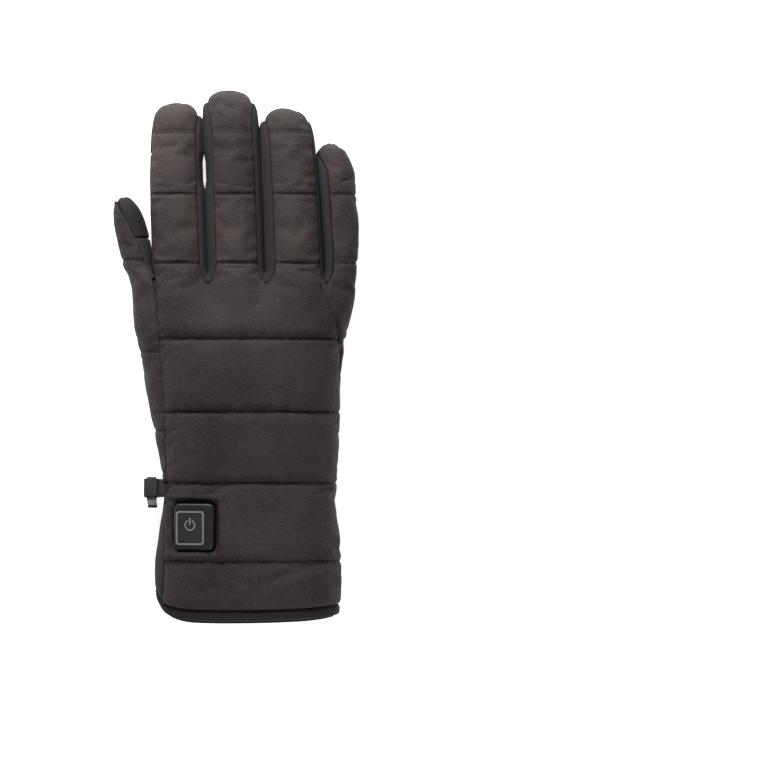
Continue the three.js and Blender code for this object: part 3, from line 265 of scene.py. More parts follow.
def finger_point(finger, y, angle, inset=0, turn=None):
    tip = finger["tip"] * LENGTH
    if turn is None:
        turn = 90
    else:
        y = tip - inset - (FINGER_CAP - inset) * (1 - math.cos(math.radians(turn)))
    share = clamp01((y - CROTCH) / (tip - CROTCH))
    bow = 4 * share * (1 - share)
    wide = (mix(finger["base_w"], finger["tip_w"], share) + finger["bow_w"] * bow) * PALM_WIDTH
    closing = math.sin(math.radians(turn))
    half = (wide / 2 - inset) * mix(FINGER_TIP_FLAT, 1, closing)
    height = (finger["depth"] * PALM_DEPTH / 2 - inset) * closing
    z = height * power(math.sin(math.radians(angle)), FINGER_ROUND)
    x = (mix(finger["base_x"], finger["tip_x"], share) + finger["bow_x"] * bow) * PALM_WIDTH
    x += half * power(math.cos(math.radians(angle)), FINGER_ROUND) + finger["lean"] * z
    level = (mix(finger["base_z"], finger["tip_z"], share) + finger["bow_z"] * bow) * PALM_DEPTH
    return Vector((x, y, level + z))


def open_angle(angle, share):
    return mix(round(angle / 180) * 180, angle, share)


def finger_rows(finger):
    """Rows of a finger from its tip: height, turn over the tip, opening of the side strips."""
    top = finger["tip"] * LENGTH - FINGER_CAP - 2
    rows = [(finger_point(finger, 0, 0, 0, turn).y, turn, share) for turn, share in CAP_ROWS]
    return rows + [(at * LENGTH, None, 1) for at in FINGER_ROWS if at * LENGTH < top]


def seam_x(name, y):
    return table_value(SEAMS, "at", name, y / LENGTH) * PALM_WIDTH


# A net is the plan of one sheet of cloth, with a place on the cloth for each corner
class Net:
    def __init__(self):
        self.numbers, self.points, self.cloth, self.cells = {}, [], [], []

    def corner(self, name, point, u, v=None):
        if name not in self.numbers:
            self.numbers[name] = len(self.points)
            self.points.append(point)
            self.cloth.append((u, point.y if v is None else v))
        return self.numbers[name]

    def fill(self, rows, keep=lambda r, c: True):
        for r in range(len(rows) - 1):
            for c in range(len(rows[r]) - 1):
                if keep(r, c):
                    cell = (rows[r][c], rows[r][c + 1], rows[r + 1][c + 1], rows[r + 1][c])
                    self.cells.append(tuple(dict.fromkeys(cell)))


def measured(net, rows, middle, start=0):
    """Sets the sideways cloth places of rows of corners by their real distances from a middle column."""
    for row in rows:
        for way in (1, -1):
            across, here = start, row[middle]
            net.cloth[here] = (across, net.cloth[here][1])
            for after in (row[middle + 1:] if way > 0 else row[:middle][::-1]):
                across += way * (net.points[after] - net.points[here]).length
                here = after
                net.cloth[here] = (across, net.cloth[here][1])


def make_columns(spans_of, between, order):
    columns = []
    for place, finger in enumerate(order):
        spans = spans_of(finger)
        columns += [(finger, None, i / spans) for i in range(spans + 1)]
        if place + 1 < len(order):
            columns += [(finger, order[place + 1], i / between) for i in range(1, between)]
    return columns


back_columns = make_columns(lambda finger: BACK_SPANS, WEB_SPANS, FINGERS)
palm_columns = make_columns(lambda finger: PALM_SPANS[finger["name"]], 1, FINGERS[::-1])
BACK_COLUMN_MM = 6.2
PALM_COLUMN_MM = 5.6


def back_place(finger, share):
    if finger["name"] == "index":
        return mix(BUTTON_RIGHT, BUTTON_LEFT, share * BACK_SPANS / (BACK_SPANS - 1))
    neighbour = FINGERS[FINGERS.index(finger) - 1]
    return mix((neighbour["cuff"] - CUFF_WEB) * PALM_WIDTH, finger["cuff"] * PALM_WIDTH, share)


def back_base(column, y, inset):
    finger, other, share = column
    if other is None:
        return finger_point(finger, y, mix(finger["back_from"], finger["back_to"], share), inset)
    right = finger_point(finger, y, finger["back_to"], inset)
    point = right.lerp(finger_point(other, y, other["back_from"], inset), share)
    point.z += WEB_RISE
    return point


def back_angle(column, y):
    finger, other, share = column
    down = clamp01((CROTCH - y) / (CROTCH - BUTTON_TOP))

    def angle_of(item, part):
        if item["name"] == "little":
            end = finger_point(item, CROTCH, item["back_to"]).x
            start = hand_angle(y, seam_x("little", y), True) - 360
            return mix(start, hand_angle(y, mix(end, item["cuff"] * PALM_WIDTH, down), False), part)
        crotch_x = finger_point(item, CROTCH, mix(item["back_from"], item["back_to"], part)).x
        return hand_angle(y, mix(crotch_x, back_place(item, part), down), False)

    if other is not None:
        return mix(angle_of(finger, 1), angle_of(other, 0), share)
    if finger["name"] == "index" and share == 1:
        return hand_angle(y, seam_x("thumb", y), False)
    return angle_of(finger, share)


def back_point(column, y, inset=0):
    weight = eased((CROTCH - y) / (CROTCH - BLEND_END))
    base = back_base(column, y, inset)
    return base.lerp(hand_point(y, back_angle(column, y), inset), weight)


def palm_point(column, y, inset=0):
    finger, _, share = column
    weight = eased((CROTCH - y) / (CROTCH - BLEND_END))
    base = finger_point(finger, y, mix(finger["palm_from"], finger["palm_to"], share), inset)
    is_index = finger["name"] == "index"
    first = SIDE_SPANS / PALM_SPANS["index"] if is_index else 0
    down = clamp01((CROTCH - y) / (CROTCH - WRIST))

    def placed(angle, end):
        return mix(finger_point(finger, CROTCH, angle).x, end * PALM_WIDTH, down)

    if is_index:
        left = table_value(THUMB_SEAM, "at", "below", y / LENGTH) * PALM_WIDTH
    else:
        left = placed(finger["palm_from"], finger["palm_left"])
    if finger["name"] == "little":
        right = seam_x("little", y)
    else:
        right = placed(finger["palm_to"], finger["palm_right"])
    x = mix(left, right, (share - first) / (1 - first))
    return base.lerp(hand_point(y, hand_angle(y, x, True), inset), weight)


def hem_y(angle):
    return table_value(HEM, "angle", "rise", angle - 360 if angle > HEM[-1]["angle"] else angle) * LENGTH


def mouth_y(angle, share):
    return mix(WINDOW_BOTTOM, hem_y(angle), share)


def cap_v(y, turn):
    """Distance along the cloth, which runs on over a fingertip."""
    return y if turn is None else y + FINGER_CAP * 0.57 * (1 - turn / 90)


def back_net():
    net = Net()
    count = len(back_columns)

    def corner(name, c, y):
        return net.corner(f"{name}{c}", back_point(back_columns[c], y), c * BACK_COLUMN_MM)

    fork = []
    for finger, other, share in back_columns:
        level = HAND_ROWS[0]
        is_index = finger["name"] == "index" and other is None
        fork.append(mix(level, THUMB_TOP, share ** 2) if is_index else level)
    top = [WEB if column[1] else CROTCH for column in back_columns]
    rows = [
        [corner("crotch", c, top[c]) for c in range(count)],
        [corner("half", c, (top[c] + fork[c]) / 2) for c in range(count)],
        [corner("fork", c, fork[c]) for c in range(count)],
    ]
    for y in HAND_ROWS[1:] + [CUFF_ROW] + BUTTON_ROWS + [WINDOW_TOP, WINDOW_BOTTOM]:
        rows.append([corner(f"{y}.", c, y) for c in range(count)])
    for share in MOUTH_ROWS:
        rows.append([
            corner(f"hem{share}.", c, mouth_y(back_angle(back_columns[c], WINDOW_TOP), share))
            for c in range(count)
        ])
    measured(net, rows, count // 2)
    hole_row = 2 + len(HAND_ROWS) + 1
    hole_column = next(c for c, column in enumerate(back_columns)
                       if column[0]["name"] == "index" and column[1] is None)
    net.fill(rows, lambda r, c: not (
        hole_row <= r < hole_row + 2 and hole_column <= c < hole_column + BACK_SPANS - 1))
    for finger in FINGERS:
        first = next(c for c, column in enumerate(back_columns) if column[0] is finger and column[1] is None)
        names = []
        for r, (y, turn, share) in enumerate(finger_rows(finger)):
            start, end = open_angle(finger["back_from"], share), open_angle(finger["back_to"], share)
            names.append([net.corner(
                f"{finger['name']}{r}.{i}",
                finger_point(finger, y, mix(start, end, i / BACK_SPANS), 0, turn),
                (first + i) * BACK_COLUMN_MM, cap_v(y, turn)) for i in range(BACK_SPANS + 1)])
        middle = first + BACK_SPANS // 2
        measured(net, names, BACK_SPANS // 2, net.cloth[rows[0][middle]][0])
        net.fill(names + [rows[0][first:first + BACK_SPANS + 1]])
    return net


def crotch_point(k, shift):
    top = back_point(back_columns[-1], THUMB_TOP)
    bottom = palm_point(palm_columns[SIDE_SPANS], THUMB_CROTCH)
    point = top.lerp(bottom, k / SIDE_SPANS)
    if 0 < k < SIDE_SPANS:
        point.x += shift - CROTCH_BOW
    return point


def palm_nets():
    net, patch = Net(), Net()
    count = len(palm_columns)

    def corner(name, c, y):
        return net.corner(f"{name}{c}", palm_point(palm_columns[c], y), c * PALM_COLUMN_MM)

    crotch = [corner("crotch", c, CROTCH) for c in range(count)]
    fork = [corner("fork", c, THUMB_CROTCH) if c > SIDE_SPANS else net.corner(
        f"fork{c}", crotch_point(c, SEAM_GAP / 2), c * PALM_COLUMN_MM) for c in range(count)]
    half = [corner("half", c, (CROTCH + THUMB_CROTCH) / 2) if c > SIDE_SPANS else net.corner(
        f"half{c}", net.points[crotch[c]].lerp(net.points[fork[c]], 0.5), c * PALM_COLUMN_MM)
        for c in range(count)]
    net.fill([crotch, half, fork])
    net.fill([fork[SIDE_SPANS:]] + [
        [corner(f"{y}.", c, y) for c in range(SIDE_SPANS, count)] for y in HAND_ROWS[1:]])
    for finger in FINGERS[::-1]:
        spans = PALM_SPANS[finger["name"]]
        first = next(c for c, column in enumerate(palm_columns) if column[0] is finger)

        def names(target, rows):
            return [[target.corner(
                f"{finger['name']}{y}.{i}",
                finger_point(finger, y, mix(open_angle(finger["palm_from"], share),
                                            open_angle(finger["palm_to"], share), i / spans), 0, turn),
                (first + i) * PALM_COLUMN_MM, cap_v(y, turn)) for i in range(spans + 1)]
                for y, turn, share in rows]

        rows = finger_rows(finger)
        base = [crotch[first:first + spans + 1]]
        if finger["name"] == "index":
            edge = [(PATCH, None, 1)]
            patch.fill(names(patch, [row for row in rows if row[1] is not None or row[0] > PATCH] + edge))
            rows = edge + [row for row in rows if row[1] is None and row[0] <= PATCH]
        net.fill(names(net, rows) + base)
    return net, patch


def strip_net(right, left):
    net = Net()
    shares = [0, 1 / 3, 2 / 3, 1]

    def wall(finger, tag, palm, back):
        rows = [row for row in finger_rows(finger) if row[2] > 0] + [(CROTCH, None, 1)]
        return [[net.corner(
            f"{tag}{r}.{k}",
            finger_point(finger, y, mix(open_angle(palm, opened), open_angle(back, opened), share), 0, turn),
            k * 5, y) for k, share in enumerate(shares)] for r, (y, turn, opened) in enumerate(rows)]

    down = wall(left, "down", left["palm_to"] - 360, left["back_from"])
    up = wall(right, "up", right["palm_from"], right["back_to"])[::-1]
    keel = []
    for part in (2, 1):
        column = (right, left, part / WEB_SPANS)
        start = finger_point(left, CROTCH, left["palm_to"]).lerp(
            finger_point(right, CROTCH, right["palm_from"]), 1 - part / WEB_SPANS)
        end = back_point(column, WEB)
        row = []
        for k, share in enumerate(shares):
            point = start.lerp(end, share)
            point.y = mix(CROTCH, WEB, share ** 3)
            if share == 1:
                point.z -= SEAM_GAP
            row.append(net.corner(f"keel{part}.{k}", point, k * 5))
        keel.append(row)
    net.fill(down + keel + up)
    return net


def thumb_point(y, angle, inset=0, turn=None):
    if turn is None:
        turn = 90
    else:
        y = THUMB_LENGTH - inset - (THUMB_CAP - inset) * (1 - math.cos(math.radians(turn)))
    at = (y - THUMB_TOP) / (THUMB_LENGTH - THUMB_TOP)
    closing = math.sin(math.radians(turn))
    half = (table_value(THUMB, "at", "width", at) * PALM_WIDTH / 2 - inset) * closing
    height = (table_value(THUMB, "at", "depth", at) * PALM_DEPTH / 2 - inset) * closing
    x = table_value(THUMB, "at", "x", at) * PALM_WIDTH
    z = table_value(THUMB, "at", "z", at) * PALM_DEPTH
    x += half * power(math.cos(math.radians(angle)), FINGER_ROUND)
    z += height * power(math.sin(math.radians(angle)), FINGER_ROUND)
    return Vector((x, y, max(z, inset, 0)))


def thumb_seams(y, turn):
    at = (thumb_point(y, 0, 0, turn).y - THUMB_TOP) / (THUMB_LENGTH - THUMB_TOP)
    turned = 1 if turn is None else math.sin(math.radians(turn))
    return (mix(180, table_value(THUMB, "at", "top", at), turned),
            mix(180, table_value(THUMB, "at", "bottom", at), turned))


def thumb_rows():
    rows = [(thumb_point(0, 180, 0, turn).y, turn) for turn, _ in CAP_ROWS]
    return rows + [(y, None) for y in THUMB_ROWS]


def pulled_to(points, start, end):
    """Moves a row of points onto two end points, with what lies between following."""
    start_move, end_move = start - points[0], end - points[-1]
    last = len(points) - 1
    return [point + start_move.lerp(end_move, c / last) for c, point in enumerate(points)]


def thumb_back_net():
    net = Net()
    rows = []
    for r, (y, turn) in enumerate(thumb_rows()):
        top, bottom = thumb_seams(y, turn)
        rows.append([net.corner(
            f"tube{r}.{c}" if r else "tip", thumb_point(y, mix(top, bottom, c / THUMB_SPANS), 0, turn), c * 5,
            y if turn is None else y + THUMB_CAP * 0.57 * (1 - turn / 90)) for c in range(THUMB_SPANS + 1)])
    top, bottom = thumb_seams(THUMB_TOP, None)
    points = [thumb_point(THUMB_TOP, mix(top, bottom, c / THUMB_SPANS)) for c in range(THUMB_SPANS + 1)]
    fork = pulled_to(points, crotch_point(0, 0), palm_point(palm_columns[SIDE_SPANS], THUMB_CROTCH))
    rows.append([net.corner(f"fork{c}", point, c * 5) for c, point in enumerate(fork)])
    for y in HAND_ROWS[1:]:
        weight = eased((THUMB_TOP - y) / (THUMB_TOP - THUMB_BLEND_END))
        start = hand_angle(y, seam_x("thumb", y), False)
        end = hand_angle(y, table_value(THUMB_SEAM, "at", "below", y / LENGTH) * PALM_WIDTH, True)
        points = []
        for c, point in enumerate(fork):
            swept = Vector((point.x, y, point.z))
            points.append(swept.lerp(hand_point(y, mix(start, end, c / THUMB_SPANS)), weight))
        points = pulled_to(points, back_point(back_columns[-1], y), palm_point(palm_columns[SIDE_SPANS], y))
        rows.append([net.corner(f"{y}.{c}", point, c * 5) for c, point in enumerate(points)])
    net.fill(rows)
    return net


def thumb_front_nets():
    front, patch = Net(), Net()

    def names(target, rows):
        made = []
        for y, turn in rows:
            top, bottom = thumb_seams(y, turn)
            made.append([target.corner(
                "tip" if turn == 0 else f"{y}.{k}",
                thumb_point(y, mix(bottom - 360, top, k / FRONT_SPANS), 0, turn), k * 6, y)
                for k in range(FRONT_SPANS + 1)])
        return made

    edge = [(THUMB_PATCH, None)]
    patch.fill(names(patch, [row for row in thumb_rows() if row[0] > THUMB_PATCH + 1] + edge))
    crotch = [front.corner(f"crotch{k}", crotch_point(FRONT_SPANS - k, -SEAM_GAP / 2), k * 6)
              for k in range(FRONT_SPANS + 1)]
    lower = [row for row in thumb_rows() if row[0] < THUMB_PATCH - 1]
    front.fill(names(front, edge + lower) + [crotch])
    return front, patch


def gusset_share(y):
    return math.sqrt(clamp01((BUTTON_TOP - y) / BUTTON_TOP))


def cuff_edge_x(y):
    opened = 0 if y > BUTTON_TOP else mix(GUSSET_START, GUSSET_WIDTH, gusset_share(y))
    return seam_x("little", y) - opened


def cuff_angles(y):
    start = hand_angle(y, seam_x("thumb", y), False)
    left = hand_angle(ZIP_LEVEL, ZIP_EDGE - ZIP_LENGTH, True)
    right = hand_angle(ZIP_LEVEL, ZIP_EDGE, True)
    end = hand_angle(y, cuff_edge_x(y), True)
    angles = []
    for a, b, key in ((start, left, "side"), (left, right, "window"), (right, end, "end")):
        angles += [mix(a, b, i / CUFF_SPANS[key]) for i in range(CUFF_SPANS[key])]
    return angles + [end]


GUSSET_LEVELS = BUTTON_ROWS + [WINDOW_TOP, WINDOW_BOTTOM]


def cuff_net():
    net = Net()
    rows = [[net.corner(f"{y}.{c}", hand_point(y, angle), c * 8) for c, angle in enumerate(cuff_angles(y))]
            for y in [WRIST, CUFF_ROW] + GUSSET_LEVELS]
    for share in MOUTH_ROWS:
        row = []
        for c, angle in enumerate(cuff_angles(WINDOW_TOP)):
            y = mouth_y(angle, share)
            row.append(net.corner(f"hem{share}.{c}", hand_point(y, cuff_angles(y)[c]), c * 8))
        rows.append(row)
    window = len(GUSSET_LEVELS)
    first, last = CUFF_SPANS["side"], CUFF_SPANS["side"] + CUFF_SPANS["window"]
    net.fill(rows, lambda r, c: not (r == window and first <= c < last))
    return net


def gusset_net():
    net = Net()
    spans = 4

    def corner(name, k, y):
        share = k / spans
        angle = mix(hand_angle(y, cuff_edge_x(y), True), hand_angle(y, seam_x("little", y), True), share)
        fold = math.sin(share * math.pi) * GUSSET_DEPTH * gusset_share(y)
        return net.corner(f"{name}.{k}", hand_point(y, angle, fold), k * 4)

    rows = [[corner(y, k, y) for k in range(spans + 1)] for y in GUSSET_LEVELS]
    start, end = cuff_angles(WINDOW_TOP)[-1], back_angle(back_columns[0], WINDOW_TOP) + 360
    for share in MOUTH_ROWS:
        rows.append([corner(f"hem{share}", k, mouth_y(mix(start, end, k / spans), share))
                     for k in range(spans + 1)])
    net.fill(rows)
    return net


def hem_net():
    net = Net()
    columns = []
    for column in back_columns:
        y = mouth_y(back_angle(column, WINDOW_TOP), 1)
        columns.append((y, back_angle(column, y)))
    for c, start in enumerate(cuff_angles(WINDOW_TOP)):
        if c > 0:
            y = mouth_y(start, 1)
            columns.append((y, cuff_angles(y)[c]))
    net.fill([[net.corner(f"{share}.{c}", hand_point(y - HEM_WIDTH * share, angle, inset),
                          c * 6, HEM_WIDTH * share)
               for c, (y, angle) in enumerate(columns)]
              for share, inset in ((-0.3, 1.6), (0.02, 0.7), (0.2, -HEM_PROUD),
                                   (0.6, -HEM_PROUD), (1, -HEM_PROUD))])
    return net


def tape_net():
    net = Net()
    lap = hand_angle(ZIP_LEVEL, ZIP_EDGE, True) - hand_angle(ZIP_LEVEL, ZIP_EDGE - TAPE_LAP, True)
    first = CUFF_SPANS["side"]
    angles = cuff_angles(ZIP_LEVEL)[first:first + CUFF_SPANS["window"] + 1]
    angles = [angles[0] - lap] + angles + [angles[-1] + lap]
    net.fill([[net.corner(f"{y}.{c}", hand_point(y, angle, CUFF_WALL + TAPE_GAP), c * 7.8)
               for c, angle in enumerate(angles)]
              for y in (WINDOW_TOP + TAPE_LAP, WINDOW_TOP, WINDOW_BOTTOM, WINDOW_BOTTOM - TAPE_LAP)])
    return net


# Colours and surfaces
def linear(colour):
    """A linear colour from an sRGB hex value."""
    parts = [int(colour[i:i + 2], 16) / 255 for i in (1, 3, 5)]
    return [p / 12.92 if p <= 0.04045 else ((p + 0.055) / 1.055) ** 2.4 for p in parts] + [1]


def add(tree, kind, inputs=None, **settings):
    """A new node with its settings, its input values and its links."""
    made = tree.nodes.new(kind)
    for key, value in settings.items():
        setattr(made, key, value)
    for key, value in (inputs or {}).items():
        if isinstance(value, bpy.types.NodeSocket):
            tree.links.new(value, made.inputs[key])
        else:
            made.inputs[key].default_value = value
    return made


def new_material(name):
    material = bpy.data.materials.new(name)
    material.use_nodes = True
    material.node_tree.nodes.clear()
    return material, material.node_tree


def finish_material(tree, surface):
    add(tree, "ShaderNodeOutputMaterial", {"Surface": surface.outputs[0]})


# A wave texture repeats every 2 pi / 20 of its scaled coordinate
WAVE_PERIOD = math.tau / 20


def cloth_material(name, dark, light, rib, rib_turn, cross, rib_bump, heather, rough, sheen, wrinkle=0.25):
    """Woven or knitted cloth: ribs of threads in two directions, heather, and a soft crumple."""
    material, tree = new_material(name)
    place = add(tree, "ShaderNodeUVMap", uv_map="cloth")
    turned = add(tree, "ShaderNodeMapping", {
        "Vector": place.outputs[0], "Rotation": (0, 0, math.radians(rib_turn))})
    across = add(tree, "ShaderNodeMapping",
                 {"Vector": place.outputs[0], "Rotation": (0, 0, math.radians(rib_turn + 62))})
    ribs = add(tree, "ShaderNodeTexWave", {"Vector": turned.outputs[0], "Scale": WAVE_PERIOD / (rib * MM),
                                           "Distortion": 1.1, "Detail": 1, "Detail Scale": 0.6})
    threads = add(tree, "ShaderNodeTexWave", {
        "Vector": across.outputs[0], "Scale": WAVE_PERIOD / (cross * MM),
        "Distortion": 1.4, "Detail": 1, "Detail Scale": 0.8})
    weave = add(tree, "ShaderNodeMath", {
        0: ribs.outputs["Fac"], 1: threads.outputs["Fac"]}, operation="MULTIPLY")
    inside = add(tree, "ShaderNodeTexCoord").outputs["Object"]
    fine = add(tree, "ShaderNodeTexNoise", {"Vector": inside, "Scale": 1 / (1.3 * MM), "Detail": 3})
    broad = add(tree, "ShaderNodeTexNoise", {"Vector": inside, "Scale": 1 / (40 * MM), "Detail": 4})
    speckle = add(tree, "ShaderNodeMapRange", {"Value": fine.outputs["Fac"], "From Min": 0.3, "From Max": 0.7,
                                               "To Min": -heather, "To Max": heather})
    shade = add(tree, "ShaderNodeMapRange", {"Value": broad.outputs["Fac"], "From Min": 0.3, "From Max": 0.7,
                                             "To Min": 0.1, "To Max": 0.6})
    rib_part = add(tree, "ShaderNodeMath", {0: weave.outputs[0], 1: 0.6, 2: shade.outputs[0]},
                   operation="MULTIPLY_ADD")
    factor = add(tree, "ShaderNodeMath", {0: rib_part.outputs[0], 1: speckle.outputs[0]},
                 operation="ADD", use_clamp=True)
    colour = add(tree, "ShaderNodeMix", {"Factor": factor.outputs[0], "A": linear(dark), "B": linear(light)},
                 data_type="RGBA")
    soft = add(tree, "ShaderNodeTexNoise", {"Vector": inside, "Scale": 1 / (9 * MM), "Detail": 5,
                                            "Roughness": 0.62})
    crumple = add(tree, "ShaderNodeBump", {"Height": soft.outputs["Fac"], "Distance": wrinkle * MM * 4,
                                           "Strength": 0.55})
    bump = add(tree, "ShaderNodeBump", {"Height": weave.outputs[0], "Distance": rib_bump * MM, "Strength": 1,
                                        "Normal": crumple.outputs[0]})
    surface = add(tree, "ShaderNodeBsdfPrincipled", {
        "Base Color": colour.outputs["Result"], "Roughness": rough, "Normal": bump.outputs[0],
        "Specular IOR Level": 0.3, "Sheen Weight": sheen, "Sheen Roughness": 0.45,
        "Sheen Tint": linear(light)})
    finish_material(tree, surface)
    return material


def solid_material(name, dark, light, grain, grain_bump, rough, coat=0, metallic=0):
    """Moulded, lacquered or printed surface with a fine grain."""
    material, tree = new_material(name)
    place = add(tree, "ShaderNodeTexCoord")
    fine = add(tree, "ShaderNodeTexNoise", {"Vector": place.outputs["Object"], "Scale": 1 / (grain * MM),
                                            "Detail": 4})
    worn = add(tree, "ShaderNodeTexNoise", {
        "Vector": place.outputs["Object"], "Scale": 1 / (6 * MM), "Detail": 3})
    colour = add(tree, "ShaderNodeMix", {
        "Factor": worn.outputs["Fac"], "A": linear(dark), "B": linear(light)}, data_type="RGBA")
    polish = add(tree, "ShaderNodeMapRange", {"Value": fine.outputs["Fac"], "From Min": 0.3, "From Max": 0.7,
                                              "To Min": rough - 0.06, "To Max": rough + 0.08})
    bump = add(tree, "ShaderNodeBump", {"Height": fine.outputs["Fac"], "Distance": grain_bump * MM,
                                        "Strength": 0.5})
    surface = add(tree, "ShaderNodeBsdfPrincipled", {
        "Base Color": colour.outputs["Result"], "Roughness": polish.outputs[0], "Normal": bump.outputs[0],
        "Metallic": metallic, "Coat Weight": coat, "Coat Roughness": 0.12})
    finish_material(tree, surface)
    return material


# Polyester twill, woven with a fine diagonal rib and filled with padding: dull, with a slight heather.
# The real rib is about 0.5 mm, drawn twice as coarse so that it shows.
twill = cloth_material("woven_polyester_twill", "#191112", "#413433", 1.15, 38, 0.9, 0.3, 0.16, 0.76, 0.12)
# Stretch softshell, knitted and brushed: smooth, close and a little warmer than the twill
softshell = cloth_material(
    "brushed_stretch_softshell", "#211A1D", "#352B30", 0.8, 45, 0.8, 0.05, 0.09, 0.9, 0.22,
                           0.16)
# The same softshell, cut as narrow strips that lie in the shade of the fingers, in darker colours: painted
# shade
strip_softshell_painted_shade = cloth_material(
    "brushed_softshell_strip_painted_shade", "#1D171A", "#2C2427", 0.8, 45, 0.8, 0.05, 0.08, 0.9,
                                0.2, 0.14)
# Knitted cloth with conductive yarn: browner, with a fine even loop
touch_knit = cloth_material(
    "conductive_warp_knit", "#140F0E", "#221A18", 1.0, 0, 1.0, 0.07, 0.1, 0.85, 0.12, 0.1)
# Turned softshell binding: dark, with the grain running round the hem
binding_cloth = cloth_material(
    "turned_binding_cloth", "#1A161A", "#282329", 0.9, 90, 0.9, 0.06, 0.08, 0.9, 0.18,
                               0.12)
# Woven polyester tape of the zip, with a close flat weave
tape_cloth = cloth_material("woven_zip_tape", "#151313", "#2A2726", 0.9, 45, 0.9, 0.08, 0.1, 0.8, 0.08, 0.05)
# Polypropylene webbing, woven in coarse chevrons with a slight shine
webbing_cloth = cloth_material(
    "woven_polypropylene_webbing", "#141211", "#302B29", 1.3, 30, 1.1, 0.22, 0.12, 0.6,
                               0.06, 0.05)
# Spun polyester sewing thread: a touch darker than the cloth
thread = solid_material("spun_polyester_thread", "#151212", "#211D1C", 0.4, 0.05, 0.7)
# Acetal zip teeth, moulded: near black, with small bright edges
acetal_teeth = solid_material("moulded_acetal_teeth", "#201E1D", "#3A3735", 0.5, 0.02, 0.34)
# Zinc slider, die-cast and lacquered black
lacquered_zinc = solid_material("lacquered_zinc_casting", "#191717", "#2A2827", 0.6, 0.02, 0.3, 0.5)
# Thermoplastic puller, moulded: smooth, black and glossy
glossy_rubber = solid_material("moulded_thermoplastic_puller", "#121111", "#201E1E", 0.8, 0.015, 0.22, 0.4)
# Silicone switch skin, moulded with a satin face
silicone = solid_material("moulded_silicone_skin", "#121111", "#1A1919", 0.35, 0.03, 0.46)
# Silicone face inside the printed line, painted a little lighter than the skin: painted light on the top
# face, where the sloping walls are in shade
silicone_face_painted_light = solid_material("silicone_top_painted_light", "#242223", "#2C2A2B", 0.35, 0.02, 0.42)
# Grey ink, screen printed
printed_ink = solid_material("screen_printed_ink", "#72706F", "#82807E", 0.3, 0.01, 0.55)
# Acetal buckle, moulded: dark grey with soft highlights on its edges
moulded_acetal = solid_material("moulded_acetal_buckle", "#1D1D1D", "#2A2A2A", 0.4, 0.03, 0.4)


# Making meshes
def link_mesh(name, mesh, material, body="glove"):
    piece = bpy.data.objects.new(name, mesh)
    bpy.context.scene.collection.objects.link(piece)
    mesh.materials.clear()
    mesh.materials.append(material)
    mesh.shade_smooth()
    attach(piece, body)
    return piece


def evaluated_mesh(piece):
    graph = bpy.context.evaluated_depsgraph_get()
    return bpy.data.meshes.new_from_object(piece.evaluated_get(graph))


def plan_mesh(name, net):
    mesh = bpy.data.meshes.new(name)
    mesh.from_pydata([(point + ORIGIN) * MM for point in net.points], [], net.cells)
    layer = mesh.uv_layers.new(name="cloth")
    for loop in mesh.loops:
        u, v = net.cloth[loop.vertex_index]
        layer.data[loop.index].uv = (u * MM, v * MM)
    return mesh


def subdivided(mesh, levels):
    """The mesh as a smoother one. The old one is removed."""
    holder = bpy.data.objects.new(mesh.name, mesh)
    bpy.context.scene.collection.objects.link(holder)
    smoother = holder.modifiers.new("smooth", "SUBSURF")
    smoother.levels = levels
    smoother.boundary_smooth = "PRESERVE_CORNERS"
    made = evaluated_mesh(holder)
    bpy.data.objects.remove(holder)
    bpy.data.meshes.remove(mesh)
    return made


def mesh_arrays(mesh):
    count = len(mesh.vertices)
    places, normals = np.empty(count * 3), np.empty(count * 3)
    mesh.vertices.foreach_get("co", places)
    mesh.vertex_normals.foreach_get("vector", normals)
    corners = np.empty(len(mesh.loops), dtype=int)
    mesh.loops.foreach_get("vertex_index", corners)
    cloth = np.empty(len(mesh.loops) * 2)
    mesh.uv_layers["cloth"].data.foreach_get("uv", cloth)
    on_cloth = np.zeros((count, 2))
    on_cloth[corners] = cloth.reshape(-1, 2)
    return places.reshape(-1, 3), normals.reshape(-1, 3), on_cloth / MM


def seam_distances(mesh, places):
    """Distance in millimetres from each vertex to the sheet's nearest open edge."""
    border = bmesh.new()
    border.from_mesh(mesh)
    points = []
    for edge in border.edges:
        if edge.is_boundary:
            a, b = (vertex.co for vertex in edge.verts)
            points += [a.lerp(b, share) for share in (0, 0.5)]
    border.free()
    tree = kdtree.KDTree(len(points))
    for i, point in enumerate(points):
        tree.insert(point, i)
    tree.balance()
    return np.array([tree.find(place)[2] for place in places]) / MM


